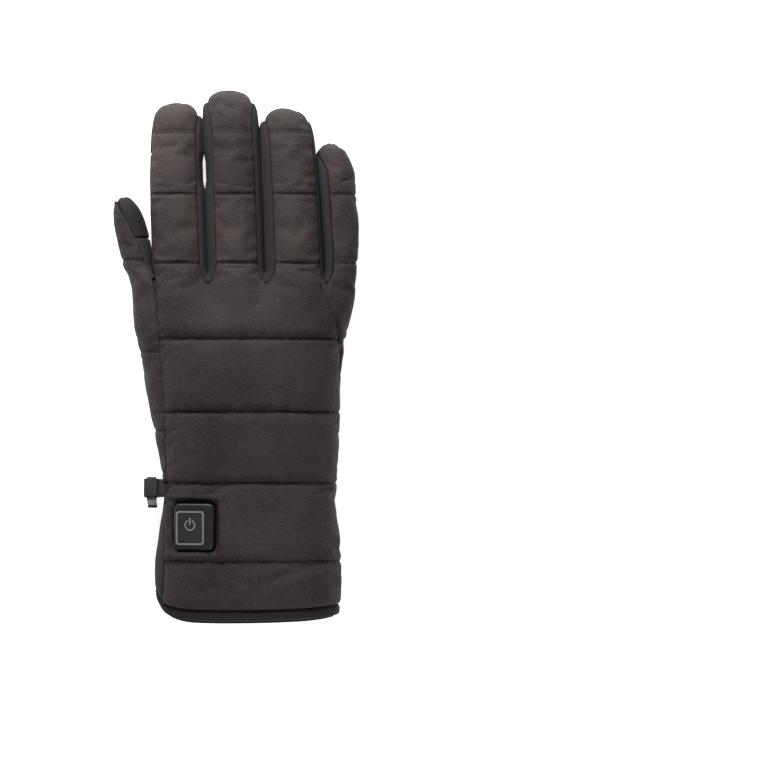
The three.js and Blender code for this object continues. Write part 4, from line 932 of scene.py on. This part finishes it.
# Padding pushes the cloth out between its seams and quilting lines, and the slack cloth puckers there
PRESSURE = 4
SIMULATED_FRAMES = 20
SIMULATED_SCALE = 10
def padded_out(mesh, quilt_lines, slack, cap):
    """The sheet after a cloth simulation, pinned at its seams and quilting lines."""
    places, normals, cloth = mesh_arrays(mesh)
    distance = seam_distances(mesh, places)
    held = (distance < 0.4) | (line_distance(cloth[:, 1], quilt_lines) < 0.9)
    mesh.vertices.foreach_set("co", (places * SIMULATED_SCALE).ravel())
    holder = bpy.data.objects.new(mesh.name, mesh)
    bpy.context.scene.collection.objects.link(holder)
    holder.vertex_groups.new(name="sewn").add([int(i) for i in np.nonzero(held)[0]], 1, "REPLACE")
    simulated = holder.modifiers.new("padding", "CLOTH")
    settings = simulated.settings
    settings.quality = 5
    settings.mass = 0.02
    settings.bending_stiffness = 0.05
    settings.vertex_group_mass = "sewn"
    settings.shrink_min = -slack
    settings.use_pressure = True
    settings.uniform_pressure_force = PRESSURE
    settings.effector_weights.gravity = 0
    simulated.point_cache.frame_start = 1
    simulated.point_cache.frame_end = SIMULATED_FRAMES
    for step in range(1, SIMULATED_FRAMES + 1):
        bpy.context.scene.frame_set(step)
    made = evaluated_mesh(holder)
    moved = np.empty(len(made.vertices) * 3)
    made.vertices.foreach_get("co", moved)
    shift = moved.reshape(-1, 3) / SIMULATED_SCALE - places
    length = np.linalg.norm(shift, axis=1)
    most = cap * MM * (0.3 + 0.7 * np.clip(normals[:, 2], 0, 1))
    limit = np.minimum(1, most / np.maximum(length, 1e-9))
    made.vertices.foreach_set("co", (places + shift * limit[:, None]).ravel())
    made.update()
    bpy.data.objects.remove(holder)
    bpy.data.meshes.remove(mesh)
    bpy.context.scene.frame_set(1)
    return made


EDGE_ROUND = 1.8
EDGE_CLEAR = 0.15
LINING_LAP = 1.1
LEVELS = 3
quilting = []


def border_directions(sheet):
    """The open edges of a sheet, and the way into it at each of their vertices."""
    border = [edge for edge in sheet.edges if edge.is_boundary]
    inward = {}
    for edge in border:
        a, b = (vertex.co for vertex in edge.verts)
        along = (b - a).normalized()
        away = edge.link_faces[0].calc_center_median() - (a + b) / 2
        away = (away - along * away.dot(along)).normalized()
        for vertex in edge.verts:
            inward[vertex] = inward.get(vertex, Vector()) + away
    return border, {vertex: move.normalized() for vertex, move in inward.items()}


def level_lines(sheet, cloth, level):
    """The lines where the cloth crosses a level, as chains of places with their normals."""
    crossing = {}
    for edge in sheet.edges:
        a, b = edge.verts
        low, high = cloth[a.index][1] - level, cloth[b.index][1] - level
        if low * high < 0:
            share = low / (low - high)
            crossing[edge] = (a.co.lerp(b.co, share), a.normal.lerp(b.normal, share).normalized())
    linked = {}
    for face in sheet.faces:
        pair = [edge for edge in face.edges if edge in crossing]
        if len(pair) == 2:
            linked.setdefault(pair[0], []).append(pair[1])
            linked.setdefault(pair[1], []).append(pair[0])
    chains, seen = [], set()
    for start in sorted(linked, key=lambda edge: (len(linked[edge]), edge.index)):
        if start in seen:
            continue
        chain, here = [], start
        while here is not None:
            seen.add(here)
            chain.append(crossing[here])
            here = next((edge for edge in linked[here] if edge not in seen), None)
        chains.append(chain)
    return chains


def cloth_piece(name, net, wall, material, relief=None, proud=0.0, node=None,
                quilt=None, sewn=()):
    """A sewn panel: rounded at its seams, with its relief, side walls and lining."""
    if quilt:
        mesh = padded_out(subdivided(plan_mesh(name, net), LEVELS - 1), *quilt)
        mesh = subdivided(mesh, 1)
    else:
        mesh = subdivided(plan_mesh(name, net), LEVELS)
    places, normals, cloth = mesh_arrays(mesh)
    distance = seam_distances(mesh, places)
    design = places / MM - np.array(ORIGIN)
    turn_in = np.clip(1 - distance / EDGE_ROUND, 0, 1)
    height = proud - EDGE_ROUND * 0.62 * (1 - np.sqrt(1 - turn_in ** 2))
    if relief is not None:
        height = height + relief(design, normals, cloth, distance)
    places = places + normals * height[:, None] * MM
    places[:, 2] = np.maximum(places[:, 2], 0.0002)
    mesh.vertices.foreach_set("co", places.ravel())
    mesh.update()

    outer = bmesh.new()
    outer.from_mesh(mesh)
    outer.normal_update()
    for level in sewn:
        quilting.extend(level_lines(outer, cloth, level))
    border, inward = border_directions(outer)
    for vertex, move in inward.items():
        vertex.co += move * EDGE_CLEAR * MM
    sides = bmesh.ops.extrude_edge_only(outer, edges=border)["geom"]
    outward = {vertex.co.to_tuple(7): vertex.normal.copy() for vertex in inward}
    for item in sides:
        if isinstance(item, bmesh.types.BMVert):
            item.co -= outward[item.co.to_tuple(7)] * wall * MM
    side_faces = [item for item in sides if isinstance(item, bmesh.types.BMFace)]
    bmesh.ops.recalc_face_normals(outer, faces=side_faces)
    lining = subdivided(plan_mesh(name + "_lining", net), 1)
    inside, inside_normals, _ = mesh_arrays(lining)
    inside = inside - inside_normals * wall * MM
    inside[:, 2] = np.maximum(inside[:, 2], 0.0009)
    lining.vertices.foreach_set("co", inside.ravel())
    backing = bmesh.new()
    backing.from_mesh(lining)
    for vertex, move in border_directions(backing)[1].items():
        vertex.co -= move * LINING_LAP * MM
    bmesh.ops.reverse_faces(backing, faces=backing.faces)
    backing.to_mesh(lining)
    backing.free()
    outer.from_mesh(lining)
    outer.to_mesh(mesh)
    outer.free()
    bpy.data.meshes.remove(lining)
    piece = link_mesh(name, mesh, material)
    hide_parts(node)
    return piece


def waves(design, across, along, seed):
    """Smooth noise from -1 to 1, with its own size across and along the glove."""
    return np.array([noise.noise(Vector((x / across, y / along, z / across + seed))) for x, y, z in design])


def line_distance(v, lines):
    return np.min(np.abs(v[:, None] - np.array(lines)[None, :]), axis=1)


def quilted(lines, top, bottom, rise, groove):
    """Padding that swells between the quilting lines and puckers along them."""
    edges = sorted([bottom] + [line for line in lines if line < top] + [top])

    def relief(design, normals, cloth, distance):
        y = design[:, 1] + 0.35 * waves(design, 11, 400, 3.1)
        low = np.clip(np.searchsorted(edges, y) - 1, 0, len(edges) - 2)
        start, end = np.array(edges)[low], np.array(edges)[low + 1]
        share = np.clip((y - start) / (end - start), 0, 1)
        swell = (1 - np.abs(2 * share - 1) ** 4) * (0.3 + 0.7 * np.clip(normals[:, 2], 0, 1))
        near_seam = np.clip(distance / 7, 0, 1) ** 0.6
        line = line_distance(y, lines)
        pucker = np.exp(-line / 3.4) * waves(design, 2.3, 30, 7.7) * 0.34
        folds = np.exp(-line / 9) * waves(design, 6.5, 17, 1.9) * 0.45
        crumple = waves(design, 13, 9, 5.2) * 0.35 + waves(design, 5.5, 4.5, 8.8) * 0.14
        seam_pucker = np.exp(-distance / 2.6) * waves(design, 40, 2.6, 4.4) * 0.3
        stitch = -groove * np.exp(-(line / 0.85) ** 2)
        near_seam = near_seam * np.clip((top - y) / 7, 0, 1)
        return (rise * swell * near_seam + stitch + (pucker + folds) * near_seam
                + crumple * np.minimum(1, distance / 5) + seam_pucker)

    return relief


# Between the zip's window and its rows of stitches
ZIP_ROW_GAP = 2.4

# Gathers at the wrist seam, as in the palm picture
GATHER_PITCH = 5.3


def palm_relief(design, normals, cloth, distance):
    x, y = design[:, 0], design[:, 1]
    above = y - WRIST
    gather = np.exp(-np.maximum(above, 0) / 7.5) * np.clip(1 - (above / 24), 0, 1)
    phase = x / GATHER_PITCH * math.tau + 1.3 * waves(design, 9, 26, 2.2)
    height = gather * (1.5 * np.sin(phase) - 0.5) + 0.35 * waves(design, 24, 17, 9.1)
    height += 1.5 * creases(x, y, PALM_CREASES)
    height += np.exp(-distance / 2.4) * waves(design, 40, 2.8, 6.3) * 0.2
    return height


# Creases of the palm: from, to, depth and width
PALM_CREASES = [
    (-38, 112, -18, 156, 0.55, 3.2),
    (-2, 147, -36, 172, 0.8, 3.0),
    (22, 150, -2, 176, 0.5, 3.4),
    (38, 150, 26, 178, 0.45, 3.2),
    (-27, 172, -44, 182, 0.6, 2.4),
    (46, 178, 22, 179, 0.5, 2.2),
    (20, 181, -6, 182, 0.45, 2.2),
    (-14, 183, -30, 183, 0.4, 2.2),
]


def creases(x, y, lines):
    height = np.zeros(len(x))
    for x1, y1, x2, y2, depth, width in lines:
        dx, dy = x2 - x1, y2 - y1
        length = math.hypot(dx, dy)
        along = ((x - x1) * dx + (y - y1) * dy) / length ** 2
        off = ((x - x1) * dy - (y - y1) * dx) / length + 2.2 * np.sin(along * math.pi)
        ends = np.clip(1 - np.abs(2 * along - 1), 0, 1) ** 0.5 * (np.abs(2 * along - 1) < 1)
        height += ends * depth * (0.6 * np.exp(-((off - width) / width) ** 2) - np.exp(-(off / width) ** 2))
    return height


def smooth_relief(amount, seed):
    def relief(design, normals, cloth, distance):
        return (amount * waves(design, 15, 12, seed)
                + 0.18 * np.exp(-distance / 2.4) * waves(design, 4, 2.8, seed))
    return relief


back_padding = quilted(QUILT_LINES, LENGTH, 7, 0.9, 0.5)

# Folds of the cuff below the switch: from, to, depth and width
CUFF_CREASES = [
    (-6, 10, 40, 33, 0.9, 3.4),
    (2, 20, 40, 28, 0.65, 2.6),
    (-34, 30, -18, 18, 0.65, 2.4),
    (-30, 11, -14, 21, 0.75, 2.6),
    (-12, 26, 8, 12, 0.6, 2.6),
    (-15, 70, -44, 66.5, 0.5, 2.0),
    (-14, 34, -13, 62, 0.35, 1.8),
]


# Seam from the crotch beside the little finger to the side of the hand
LITTLE_SEAM = [(37.8, 178), (41.9, 169), (45.6, 159), (47, 151), (47.8, 139), (48.2, 122)]


def groove(x, y, line, depth, width):
    height = np.zeros(len(x))
    for (x1, y1), (x2, y2) in zip(line, line[1:]):
        dx, dy = x2 - x1, y2 - y1
        share = np.clip(((x - x1) * dx + (y - y1) * dy) / (dx * dx + dy * dy), 0, 1)
        off = np.hypot(x - x1 - share * dx, y - y1 - share * dy)
        height = np.minimum(height, -depth * np.exp(-(off / width) ** 2))
    return height


def back_relief(design, normals, cloth, distance):
    x, y = design[:, 0], design[:, 1]
    off = np.maximum(np.abs(x - BUTTON_X) - BUTTON_WIDTH / 2,
                     np.abs(y - BUTTON_Y) - BUTTON_HEIGHT / 2) - BUTTON_GAP
    lip = 1.5 * np.exp(-((off - 2.3) / 1.5) ** 2) * (1 + 0.35 * waves(design, 4, 4, 2.9))
    upper = design[:, 2] > PALM_DEPTH / 2
    return back_padding(design, normals, cloth, distance) + upper * (
        lip + 1.5 * creases(x, y, CUFF_CREASES) + groove(x, y, LITTLE_SEAM, 1.1, 0.9))


back = cloth_piece(
    "quilted_back", back_net(), BACK_WALL, twill,
    back_relief, proud=0.35, node="back_panel",
    quilt=(QUILT_LINES, 0.045, 1.7), sewn=QUILT_LINES)
palm_plan, patch_plan = palm_nets()
cloth_piece("softshell_palm", palm_plan, PALM_WALL, softshell, palm_relief, proud=0.3,
            node="palm_panel")
cloth_piece("index_touch_patch", patch_plan, PALM_WALL, touch_knit, smooth_relief(0.15, 2.5),
            proud=0.3, node="index_patch")


# The strips swell until they touch, but for a short slit between the index and middle finger
SLIT = (228, 250)
STRIP_SWELL = 1.15


def strip_relief(pair):
    def relief(design, normals, cloth, distance):
        y = design[:, 1]
        slit = np.clip(np.minimum(y - SLIT[0], SLIT[1] - y) / 6, 0, 1) if pair == "index_middle" else 0
        return (STRIP_SWELL * (1 - np.exp(-distance / 2.2)) * (1 - slit)
                + 0.2 * waves(design, 15, 12, len(pair)))

    return relief


for right, left in zip(FINGERS, FINGERS[1:]):
    pair = f"{left['name']}_{right['name']}"
    cloth_piece(f"side_strip_{pair}", strip_net(right, left), STRIP_WALL, strip_softshell_painted_shade,
                strip_relief(pair), proud=0.15, node=f"strip_{pair}")
cloth_piece("quilted_thumb_outside", thumb_back_net(), THUMB_WALL, twill,
            quilted(THUMB_QUILT_LINES, THUMB_LENGTH, WRIST, 0.8, 0.5), proud=0.35,
            node="thumb_back",
            quilt=(THUMB_QUILT_LINES, 0.045, 1.6), sewn=THUMB_QUILT_LINES)
front_plan, thumb_patch_plan = thumb_front_nets()
cloth_piece("thumb_inside", front_plan, STRIP_WALL, softshell, smooth_relief(0.3, 1.2),
            proud=0.1, node="thumb_front")
cloth_piece("thumb_touch_patch", thumb_patch_plan, STRIP_WALL, touch_knit,
            smooth_relief(0.15, 3.3), proud=0.1, node="thumb_patch")
sewn_before = len(quilting)
cloth_piece("softshell_cuff", cuff_net(), CUFF_WALL, softshell, smooth_relief(0.4, 6.1),
            proud=0.2, node="cuff_panel", sewn=(WINDOW_TOP + ZIP_ROW_GAP, WINDOW_BOTTOM - ZIP_ROW_GAP))
zip_left, zip_right = ORIGIN[0] + ZIP_EDGE - ZIP_LENGTH, ORIGIN[0] + ZIP_EDGE
quilting[sewn_before:] = [
    [(place, normal) for place, normal in chain if zip_left < place.x / MM < zip_right]
    for chain in quilting[sewn_before:]]
cloth_piece("cuff_gusset_fold", gusset_net(), GUSSET_WALL, softshell, smooth_relief(0.35, 7.4),
            node="cuff_gusset")
cloth_piece("turned_hem_band", hem_net(), HEM_WALL, binding_cloth, smooth_relief(0.2, 4.8),
            node="hem_band")
cloth_piece("woven_tape", tape_net(), TAPE_WALL, tape_cloth, node="zip_tape")


# Stitches: short lengths of thread that dip into the cloth at both ends
STITCH_PITCH = 3.0
STITCH_LENGTH = 2.3
THREAD_RADIUS = 0.26


def stitches(chains, pitch=STITCH_PITCH, length=STITCH_LENGTH, radius=THREAD_RADIUS):
    sewn = bmesh.new()
    for chain in chains:
        along = [0]
        for (here, _), (after, _) in zip(chain, chain[1:]):
            along.append(along[-1] + (after - here).length / MM)

        def placed(distance, lift):
            i = min(int(np.searchsorted(along, distance, side="right")), len(chain) - 1)
            share = (distance - along[i - 1]) / max(1e-6, along[i] - along[i - 1])
            normal = chain[i - 1][1].lerp(chain[i][1], share).normalized()
            return chain[i - 1][0].lerp(chain[i][0], share) + normal * lift * MM, normal

        for i in range(int((along[-1] - 1.2) / pitch)):
            start = 0.6 + i * pitch
            rings = []
            for share, lift in ((0, -0.3), (0.2, 0.12), (0.5, 0.2), (0.8, 0.12), (1, -0.3)):
                centre, normal = placed(start + length * share, lift)
                ahead = placed(start + length * share + 0.2, lift)[0]
                side = normal.cross(ahead - centre).normalized()
                rings.append([sewn.verts.new(
                    centre + (side * math.cos(k * math.tau / 6)
                              + normal * math.sin(k * math.tau / 6)) * radius * MM)
                    for k in range(6)])
            for low, high in zip(rings, rings[1:]):
                for k in range(6):
                    sewn.faces.new((low[k], low[(k + 1) % 6], high[(k + 1) % 6], high[k]))
            sewn.faces.new(rings[0][::-1])
            sewn.faces.new(rings[-1])
    bmesh.ops.recalc_face_normals(sewn, faces=sewn.faces)
    mesh = bpy.data.meshes.new("stitches")
    sewn.to_mesh(mesh)
    sewn.free()
    return mesh


link_mesh("quilting_thread", stitches(quilting), thread)


# Plates with rounded edges, cut from flat outlines
def arc(x, y, radius, start, end, steps):
    return [(x + radius * math.cos(math.radians(mix(start, end, i / steps))),
             y + radius * math.sin(math.radians(mix(start, end, i / steps)))) for i in range(steps + 1)]


def rounded_rectangle(width, height, corner, steps=8):
    x, y = width / 2 - corner, height / 2 - corner
    return (arc(x, -y, corner, -90, 0, steps) + arc(x, y, corner, 0, 90, steps)
            + arc(-x, y, corner, 90, 180, steps) + arc(-x, -y, corner, 180, 270, steps))


def softened(points, radius, steps=4):
    """The outline with each corner turned into a short curve."""
    made = []
    for i, here in enumerate(points):
        before, after = Vector(points[i - 1]), Vector(points[(i + 1) % len(points)])
        corner = Vector(here)
        start = corner + (before - corner).normalized() * min(radius, (before - corner).length * 0.45)
        end = corner + (after - corner).normalized() * min(radius, (after - corner).length * 0.45)
        for step in range(steps + 1):
            share = step / steps
            made.append(tuple(start.lerp(corner, share).lerp(corner.lerp(end, share), share)))
    return made


def plate(outlines, low, high, bevel, rounds=3):
    """A mesh in millimetres: the first outline is the edge, and the others are holes."""
    curve = bpy.data.curves.new("plate", "CURVE")
    curve.dimensions = "2D"
    curve.fill_mode = "BOTH"
    for outline in outlines:
        spline = curve.splines.new("POLY")
        spline.points.add(len(outline) - 1)
        for point, (x, y) in zip(spline.points, outline):
            point.co = (x, y, 0, 1)
        spline.use_cyclic_u = True
    curve.extrude = (high - low) / 2 - bevel
    curve.bevel_depth = bevel
    curve.bevel_resolution = rounds
    curve.offset = -bevel
    holder = bpy.data.objects.new("plate", curve)
    bpy.context.scene.collection.objects.link(holder)
    mesh = evaluated_mesh(holder)
    bpy.data.objects.remove(holder)
    bpy.data.curves.remove(curve)
    mesh.transform(Matrix.Translation((0, 0, (low + high) / 2)))
    return mesh


def welded(meshes, matrix):
    """Meshes in millimetres as one mesh in metres, placed by a matrix in millimetres."""
    whole = bmesh.new()
    for mesh in meshes:
        whole.from_mesh(mesh)
    bmesh.ops.remove_doubles(whole, verts=whole.verts, dist=1e-4)
    bmesh.ops.recalc_face_normals(whole, faces=whole.faces)
    whole.transform(Matrix.Scale(MM, 4) @ Matrix.Translation(ORIGIN) @ matrix)
    made = bpy.data.meshes.new("part")
    whole.to_mesh(made)
    whole.free()
    return made


def flat_shaded(mesh, angle=35):
    mesh.shade_smooth()
    mesh.set_sharp_from_angle(angle=math.radians(angle))


def surface_matrix(x, y, below):
    """A frame on the outer face: +X round the hand, +Z outwards, as in the part's source."""
    angle = hand_angle(y, x, below)
    step = 1 if below else -1
    across = (hand_point(y, angle + step) - hand_point(y, angle - step)).normalized()
    along = Vector((0, -1 if below else 1, 0))
    out = across.cross(along)
    matrix = Matrix((across, along, out)).transposed().to_4x4()
    matrix.translation = hand_point(y, angle)
    return matrix


def hard_piece(name, meshes, matrix, material, nodes, body="glove", sharp=35):
    piece = link_mesh(name, welded(meshes, matrix), material, body)
    piece.data.name = name
    flat_shaded(piece.data, sharp)
    if nodes:
        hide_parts(*nodes)
    return piece


# Heating switch
BUTTON_DEPTH = 6.4
BUTTON_PROUD = 2.8
BUTTON_CORNER = 3.2
FRAME_WIDTH = 15.4
FRAME_HEIGHT = 17.8
FRAME_SHIFT = (-2, -0.6)
button_matrix = surface_matrix(BUTTON_X, BUTTON_Y, False)
low = BUTTON_PROUD - BUTTON_DEPTH
skin = plate([rounded_rectangle(BUTTON_WIDTH, BUTTON_HEIGHT, BUTTON_CORNER)], low, BUTTON_PROUD, 1.1, 5)
# The narrower foot that it stands on, which fills the opening below the curved cloth
FOOT_INSET = 1.9
FOOT_DEPTH = 12
foot = plate([rounded_rectangle(BUTTON_WIDTH - 2 * FOOT_INSET, BUTTON_HEIGHT - 2 * FOOT_INSET, 2)],
             BUTTON_PROUD - FOOT_DEPTH, low + 0.4, 0.1, 1)
hard_piece("silicone_switch", [skin, foot], button_matrix, silicone, ["button_housing"], sharp=60)
# A thin plate on the switch's top that carries its painted light, lighter than the silicone skin
face = plate([rounded_rectangle(FRAME_WIDTH - 1.8, FRAME_HEIGHT - 1.8, 1.1)], BUTTON_PROUD - 0.2,
             BUTTON_PROUD + 0.07, 0.03, 1)
face.transform(Matrix.Translation((FRAME_SHIFT[0], FRAME_SHIFT[1], 0)))
hard_piece("silicone_switch_face", [face], button_matrix, silicone_face_painted_light, [])
for name in ("button_frame", "button_ring", "button_bar"):
    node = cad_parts[name]
    for material_slot in node.material_slots:
        material_slot.material = printed_ink

# Zip: teeth in two interlocked rows, slider with its bridge, and puller
TOOTH_PITCH = 1.45
SLIDER_LENGTH = 9.2
SLIDER_DEPTH = 1.8
SLIDER_PROUD = 0.4
SLIDER_INSET = 0.5
SLIDER_X = ZIP_EDGE - SLIDER_INSET - SLIDER_LENGTH / 2
PULLER_HEADING = 51


def chain():
    start = ZIP_EDGE - ZIP_LENGTH + 0.8
    end = SLIDER_X - SLIDER_LENGTH / 2 - 0.3
    count = int((end - start) / TOOTH_PITCH * 2)
    tooth = plate([softened([(-0.42, -1.5), (0.42, -1.5), (0.5, 1.3), (0.2, 1.8), (-0.2, 1.8),
                             (-0.5, 1.3)], 0.3, 2)],
                  0, 1.15, 0.2, 1)
    row = bmesh.new()
    for i in range(count):
        x = mix(start, end, (i + 0.5) / count)
        side = 1 if i % 2 else -1
        angle = hand_angle(ZIP_LEVEL, x, True)
        place = surface_matrix(x, ZIP_LEVEL, True)
        place.translation = hand_point(ZIP_LEVEL, angle, CUFF_WALL + TAPE_GAP - 0.15)
        turn = Matrix.Rotation(0 if side > 0 else math.pi, 4, "Z")
        copy = tooth.copy()
        copy.transform(place @ turn @ Matrix.Translation((0, -0.75, 0)))
        row.from_mesh(copy)
        bpy.data.meshes.remove(copy)
    made = bpy.data.meshes.new("chain")
    row.to_mesh(made)
    row.free()
    return made


hard_piece("zip_chain", [chain()], Matrix.Identity(4), acetal_teeth, ["zip_teeth"])
slider_matrix = surface_matrix(SLIDER_X, ZIP_LEVEL, True)
slider_body = plate([softened([(-4.6, -2.3), (-1.5, -3.7), (4.6, -3.2), (4.6, 3.2), (-1.5, 3.7),
                               (-4.6, 2.3)], 1.4, 6)],
                    -SLIDER_DEPTH, SLIDER_PROUD, 0.35, 3)
bridge = plate([softened([(-2.2, 0), (-2.2, 2.6), (-1.6, 2.9), (1.6, 2.9), (2.2, 2.6), (2.2, 0)], 0.8, 4),
                softened([(-1.4, 0.3), (-1.4, 2.2), (1.4, 2.2), (1.4, 0.3)], 0.5, 3)], -0.6, 0.6, 0.12, 2)
bridge.transform(Matrix.Rotation(math.radians(PULLER_HEADING), 4, "Z") @ Matrix.Rotation(math.pi / 2, 4, "X"))
hard_piece("zip_slider_body", [slider_body, bridge], slider_matrix, lacquered_zinc,
           ["zip_slider"])
puller_matrix = slider_matrix @ Matrix.Translation((0, 0, SLIDER_PROUD + 0.9)) @ Matrix.Rotation(
    math.radians(PULLER_HEADING), 4, "Z")
puller = plate([
    softened([(-0.5, -2.05), (3.4, -2.05), (6.1, -3.2)], 0.5, 3) + arc(8.6, 0, 3.2, -90, 90, 16)
    + softened([(6.1, 3.2), (3.4, 2.05), (-0.5, 2.05)], 0.5, 3),
    softened([(0.5, -0.95), (3.4, -0.95), (3.4, 0.95), (0.5, 0.95)], 0.3, 2),
    softened([(5, -1.6), (9.7, -1.6), (9.7, 1.6), (5, 1.6)], 1.4, 6),
], -0.55, 0.55, 0.3, 3)
hard_piece("zip_puller_loop", [puller], puller_matrix, glossy_rubber, ["zip_puller"],
           body="puller")

# Webbing loop and the male half of a side-release buckle
WEBBING_WIDTH = 9.5
WEBBING_WALL = 1.2
STRAP_REACH = 8.6
BUCKLE_DEPTH = 5
BUCKLE_STANDOFF = 6.9
BUCKLE_TILT = -15
BUCKLE_LENGTH = 20
wrist_y = 0.2518 * LENGTH
wrist_middle, wrist_half = hand_section(wrist_y)[:2]
hanger = (Matrix.Translation((wrist_middle - wrist_half - BUCKLE_STANDOFF, wrist_y, 0.498 * PALM_DEPTH))
          @ Matrix.Rotation(math.radians(BUCKLE_TILT), 4, "X"))
slot_half = WEBBING_WIDTH / 2 + 0.35
body_half = slot_half + 1.3
top = 1
body_end = top - 9.4
tip = top - BUCKLE_LENGTH
barb = (body_end + tip) / 2
prong = body_half - 1.7
side = [(1.4, body_end), (prong, body_end), (prong, tip + 1.7), (body_half - 1.1, tip),
        (body_half + 1.1, barb),
        (body_half, barb), (body_half, top - 1.3), (body_half - 1.3, top)]
outline = [(-1.4, tip + 3.4), (1.4, tip + 3.4)] + side + [(-x, y) for x, y in side[::-1]]
slot_hole = [(-slot_half, -top - 2.6), (slot_half, -top - 2.6), (slot_half, -top), (-slot_half, -top)]
buckle = plate([softened(outline, 0.7, 4), softened(slot_hole, 0.5, 4)],
               -BUCKLE_DEPTH / 2, BUCKLE_DEPTH / 2, 0.55, 4)
buckle.transform(Matrix(((0, 0, 1, 0), (1, 0, 0, 0), (0, 1, 0, 0), (0, 0, 0, 1))))
hard_piece("side_release_prongs", [buckle], hanger, moulded_acetal, ["buckle"], sharp=50)
inner_x = BUCKLE_DEPTH / 2 + 0.35
inner_z = 1.35
outer_x, outer_z = inner_x + WEBBING_WALL, inner_z + WEBBING_WALL
loop = [(STRAP_REACH, -WEBBING_WALL), (STRAP_REACH, WEBBING_WALL), (outer_x, WEBBING_WALL),
        (inner_x, outer_z),
        (-inner_x, outer_z), (-outer_x, WEBBING_WALL), (-outer_x, -WEBBING_WALL), (-inner_x, -outer_z),
        (inner_x, -outer_z), (outer_x, -WEBBING_WALL)]
loop_hole = [(-inner_x, -inner_z), (-inner_x, inner_z), (inner_x, inner_z), (inner_x, -inner_z)]
strap = plate([softened(loop, 1.1, 5), softened(loop_hole, 0.6, 4)],
              -WEBBING_WIDTH / 2, WEBBING_WIDTH / 2, 0.2, 2)
strap.transform(Matrix.Rotation(math.pi / 2, 4, "X"))
webbing = hard_piece("webbing_loop", [strap], hanger, webbing_cloth, ["strap"])


def box_cloth(piece):
    """Texture places for cloth that has none: the longer two of the face's directions."""
    layer = piece.data.uv_layers.new(name="cloth")
    for polygon in piece.data.polygons:
        n = polygon.normal
        for index in polygon.loop_indices:
            x, y, z = piece.data.vertices[piece.data.loops[index].vertex_index].co
            layer.data[index].uv = (x, y) if abs(n.z) > abs(n.x) else (z, y)


box_cloth(webbing)


# Stage, light and the closing lines
FLOOR_HALF = 4
FLOOR_GLOW = 0.8
STUDIO_LIGHT = 0.25
floor_mesh = bpy.data.meshes.new("floor")
floor_mesh.from_pydata([(-FLOOR_HALF, -FLOOR_HALF, 0), (FLOOR_HALF, -FLOOR_HALF, 0),
                        (FLOOR_HALF, FLOOR_HALF, 0), (-FLOOR_HALF, FLOOR_HALF, 0)], [], [(0, 1, 2, 3)])
floor = bpy.data.objects.new("floor", floor_mesh)
bpy.context.scene.collection.objects.link(floor)
floor_material, floor_tree = new_material("painted_white_board")
floor_surface = add(floor_tree, "ShaderNodeBsdfPrincipled", {
    "Base Color": linear("#F6F6F6"), "Roughness": 0.9, "Specular IOR Level": 0.1,
    "Emission Color": linear("#FFFFFF"), "Emission Strength": FLOOR_GLOW})
finish_material(floor_tree, floor_surface)
floor_mesh.materials.append(floor_material)

world = bpy.data.worlds.new("studio")
bpy.context.scene.world = world
world.use_nodes = True
world.node_tree.nodes["Background"].inputs["Color"].default_value = linear("#FFFFFF")
world.node_tree.nodes["Background"].inputs["Strength"].default_value = STUDIO_LIGHT


def area_light(name, place, aim, size, power_watts, colour="#FFFFFF"):
    lamp = bpy.data.lights.new(name, "AREA")
    lamp.color = linear(colour)[:3]
    lamp.size = size
    lamp.energy = power_watts
    holder = bpy.data.objects.new(name, lamp)
    holder.location = place
    holder.rotation_euler = (Vector(aim) - Vector(place)).to_track_quat("-Z", "Y").to_euler()
    bpy.context.scene.collection.objects.link(holder)


area_light("softbox_behind_fingers", (-0.08, 0.36, 0.25), (-0.04, 0.09, 0), 0.26, 3.3, "#F1FCFB")
area_light("softbox_before_hem", (0.04, -0.31, 0.16), (0, -0.12, 0), 0.18, 0.36)
bpy.context.scene.view_settings.view_transform = "Standard"
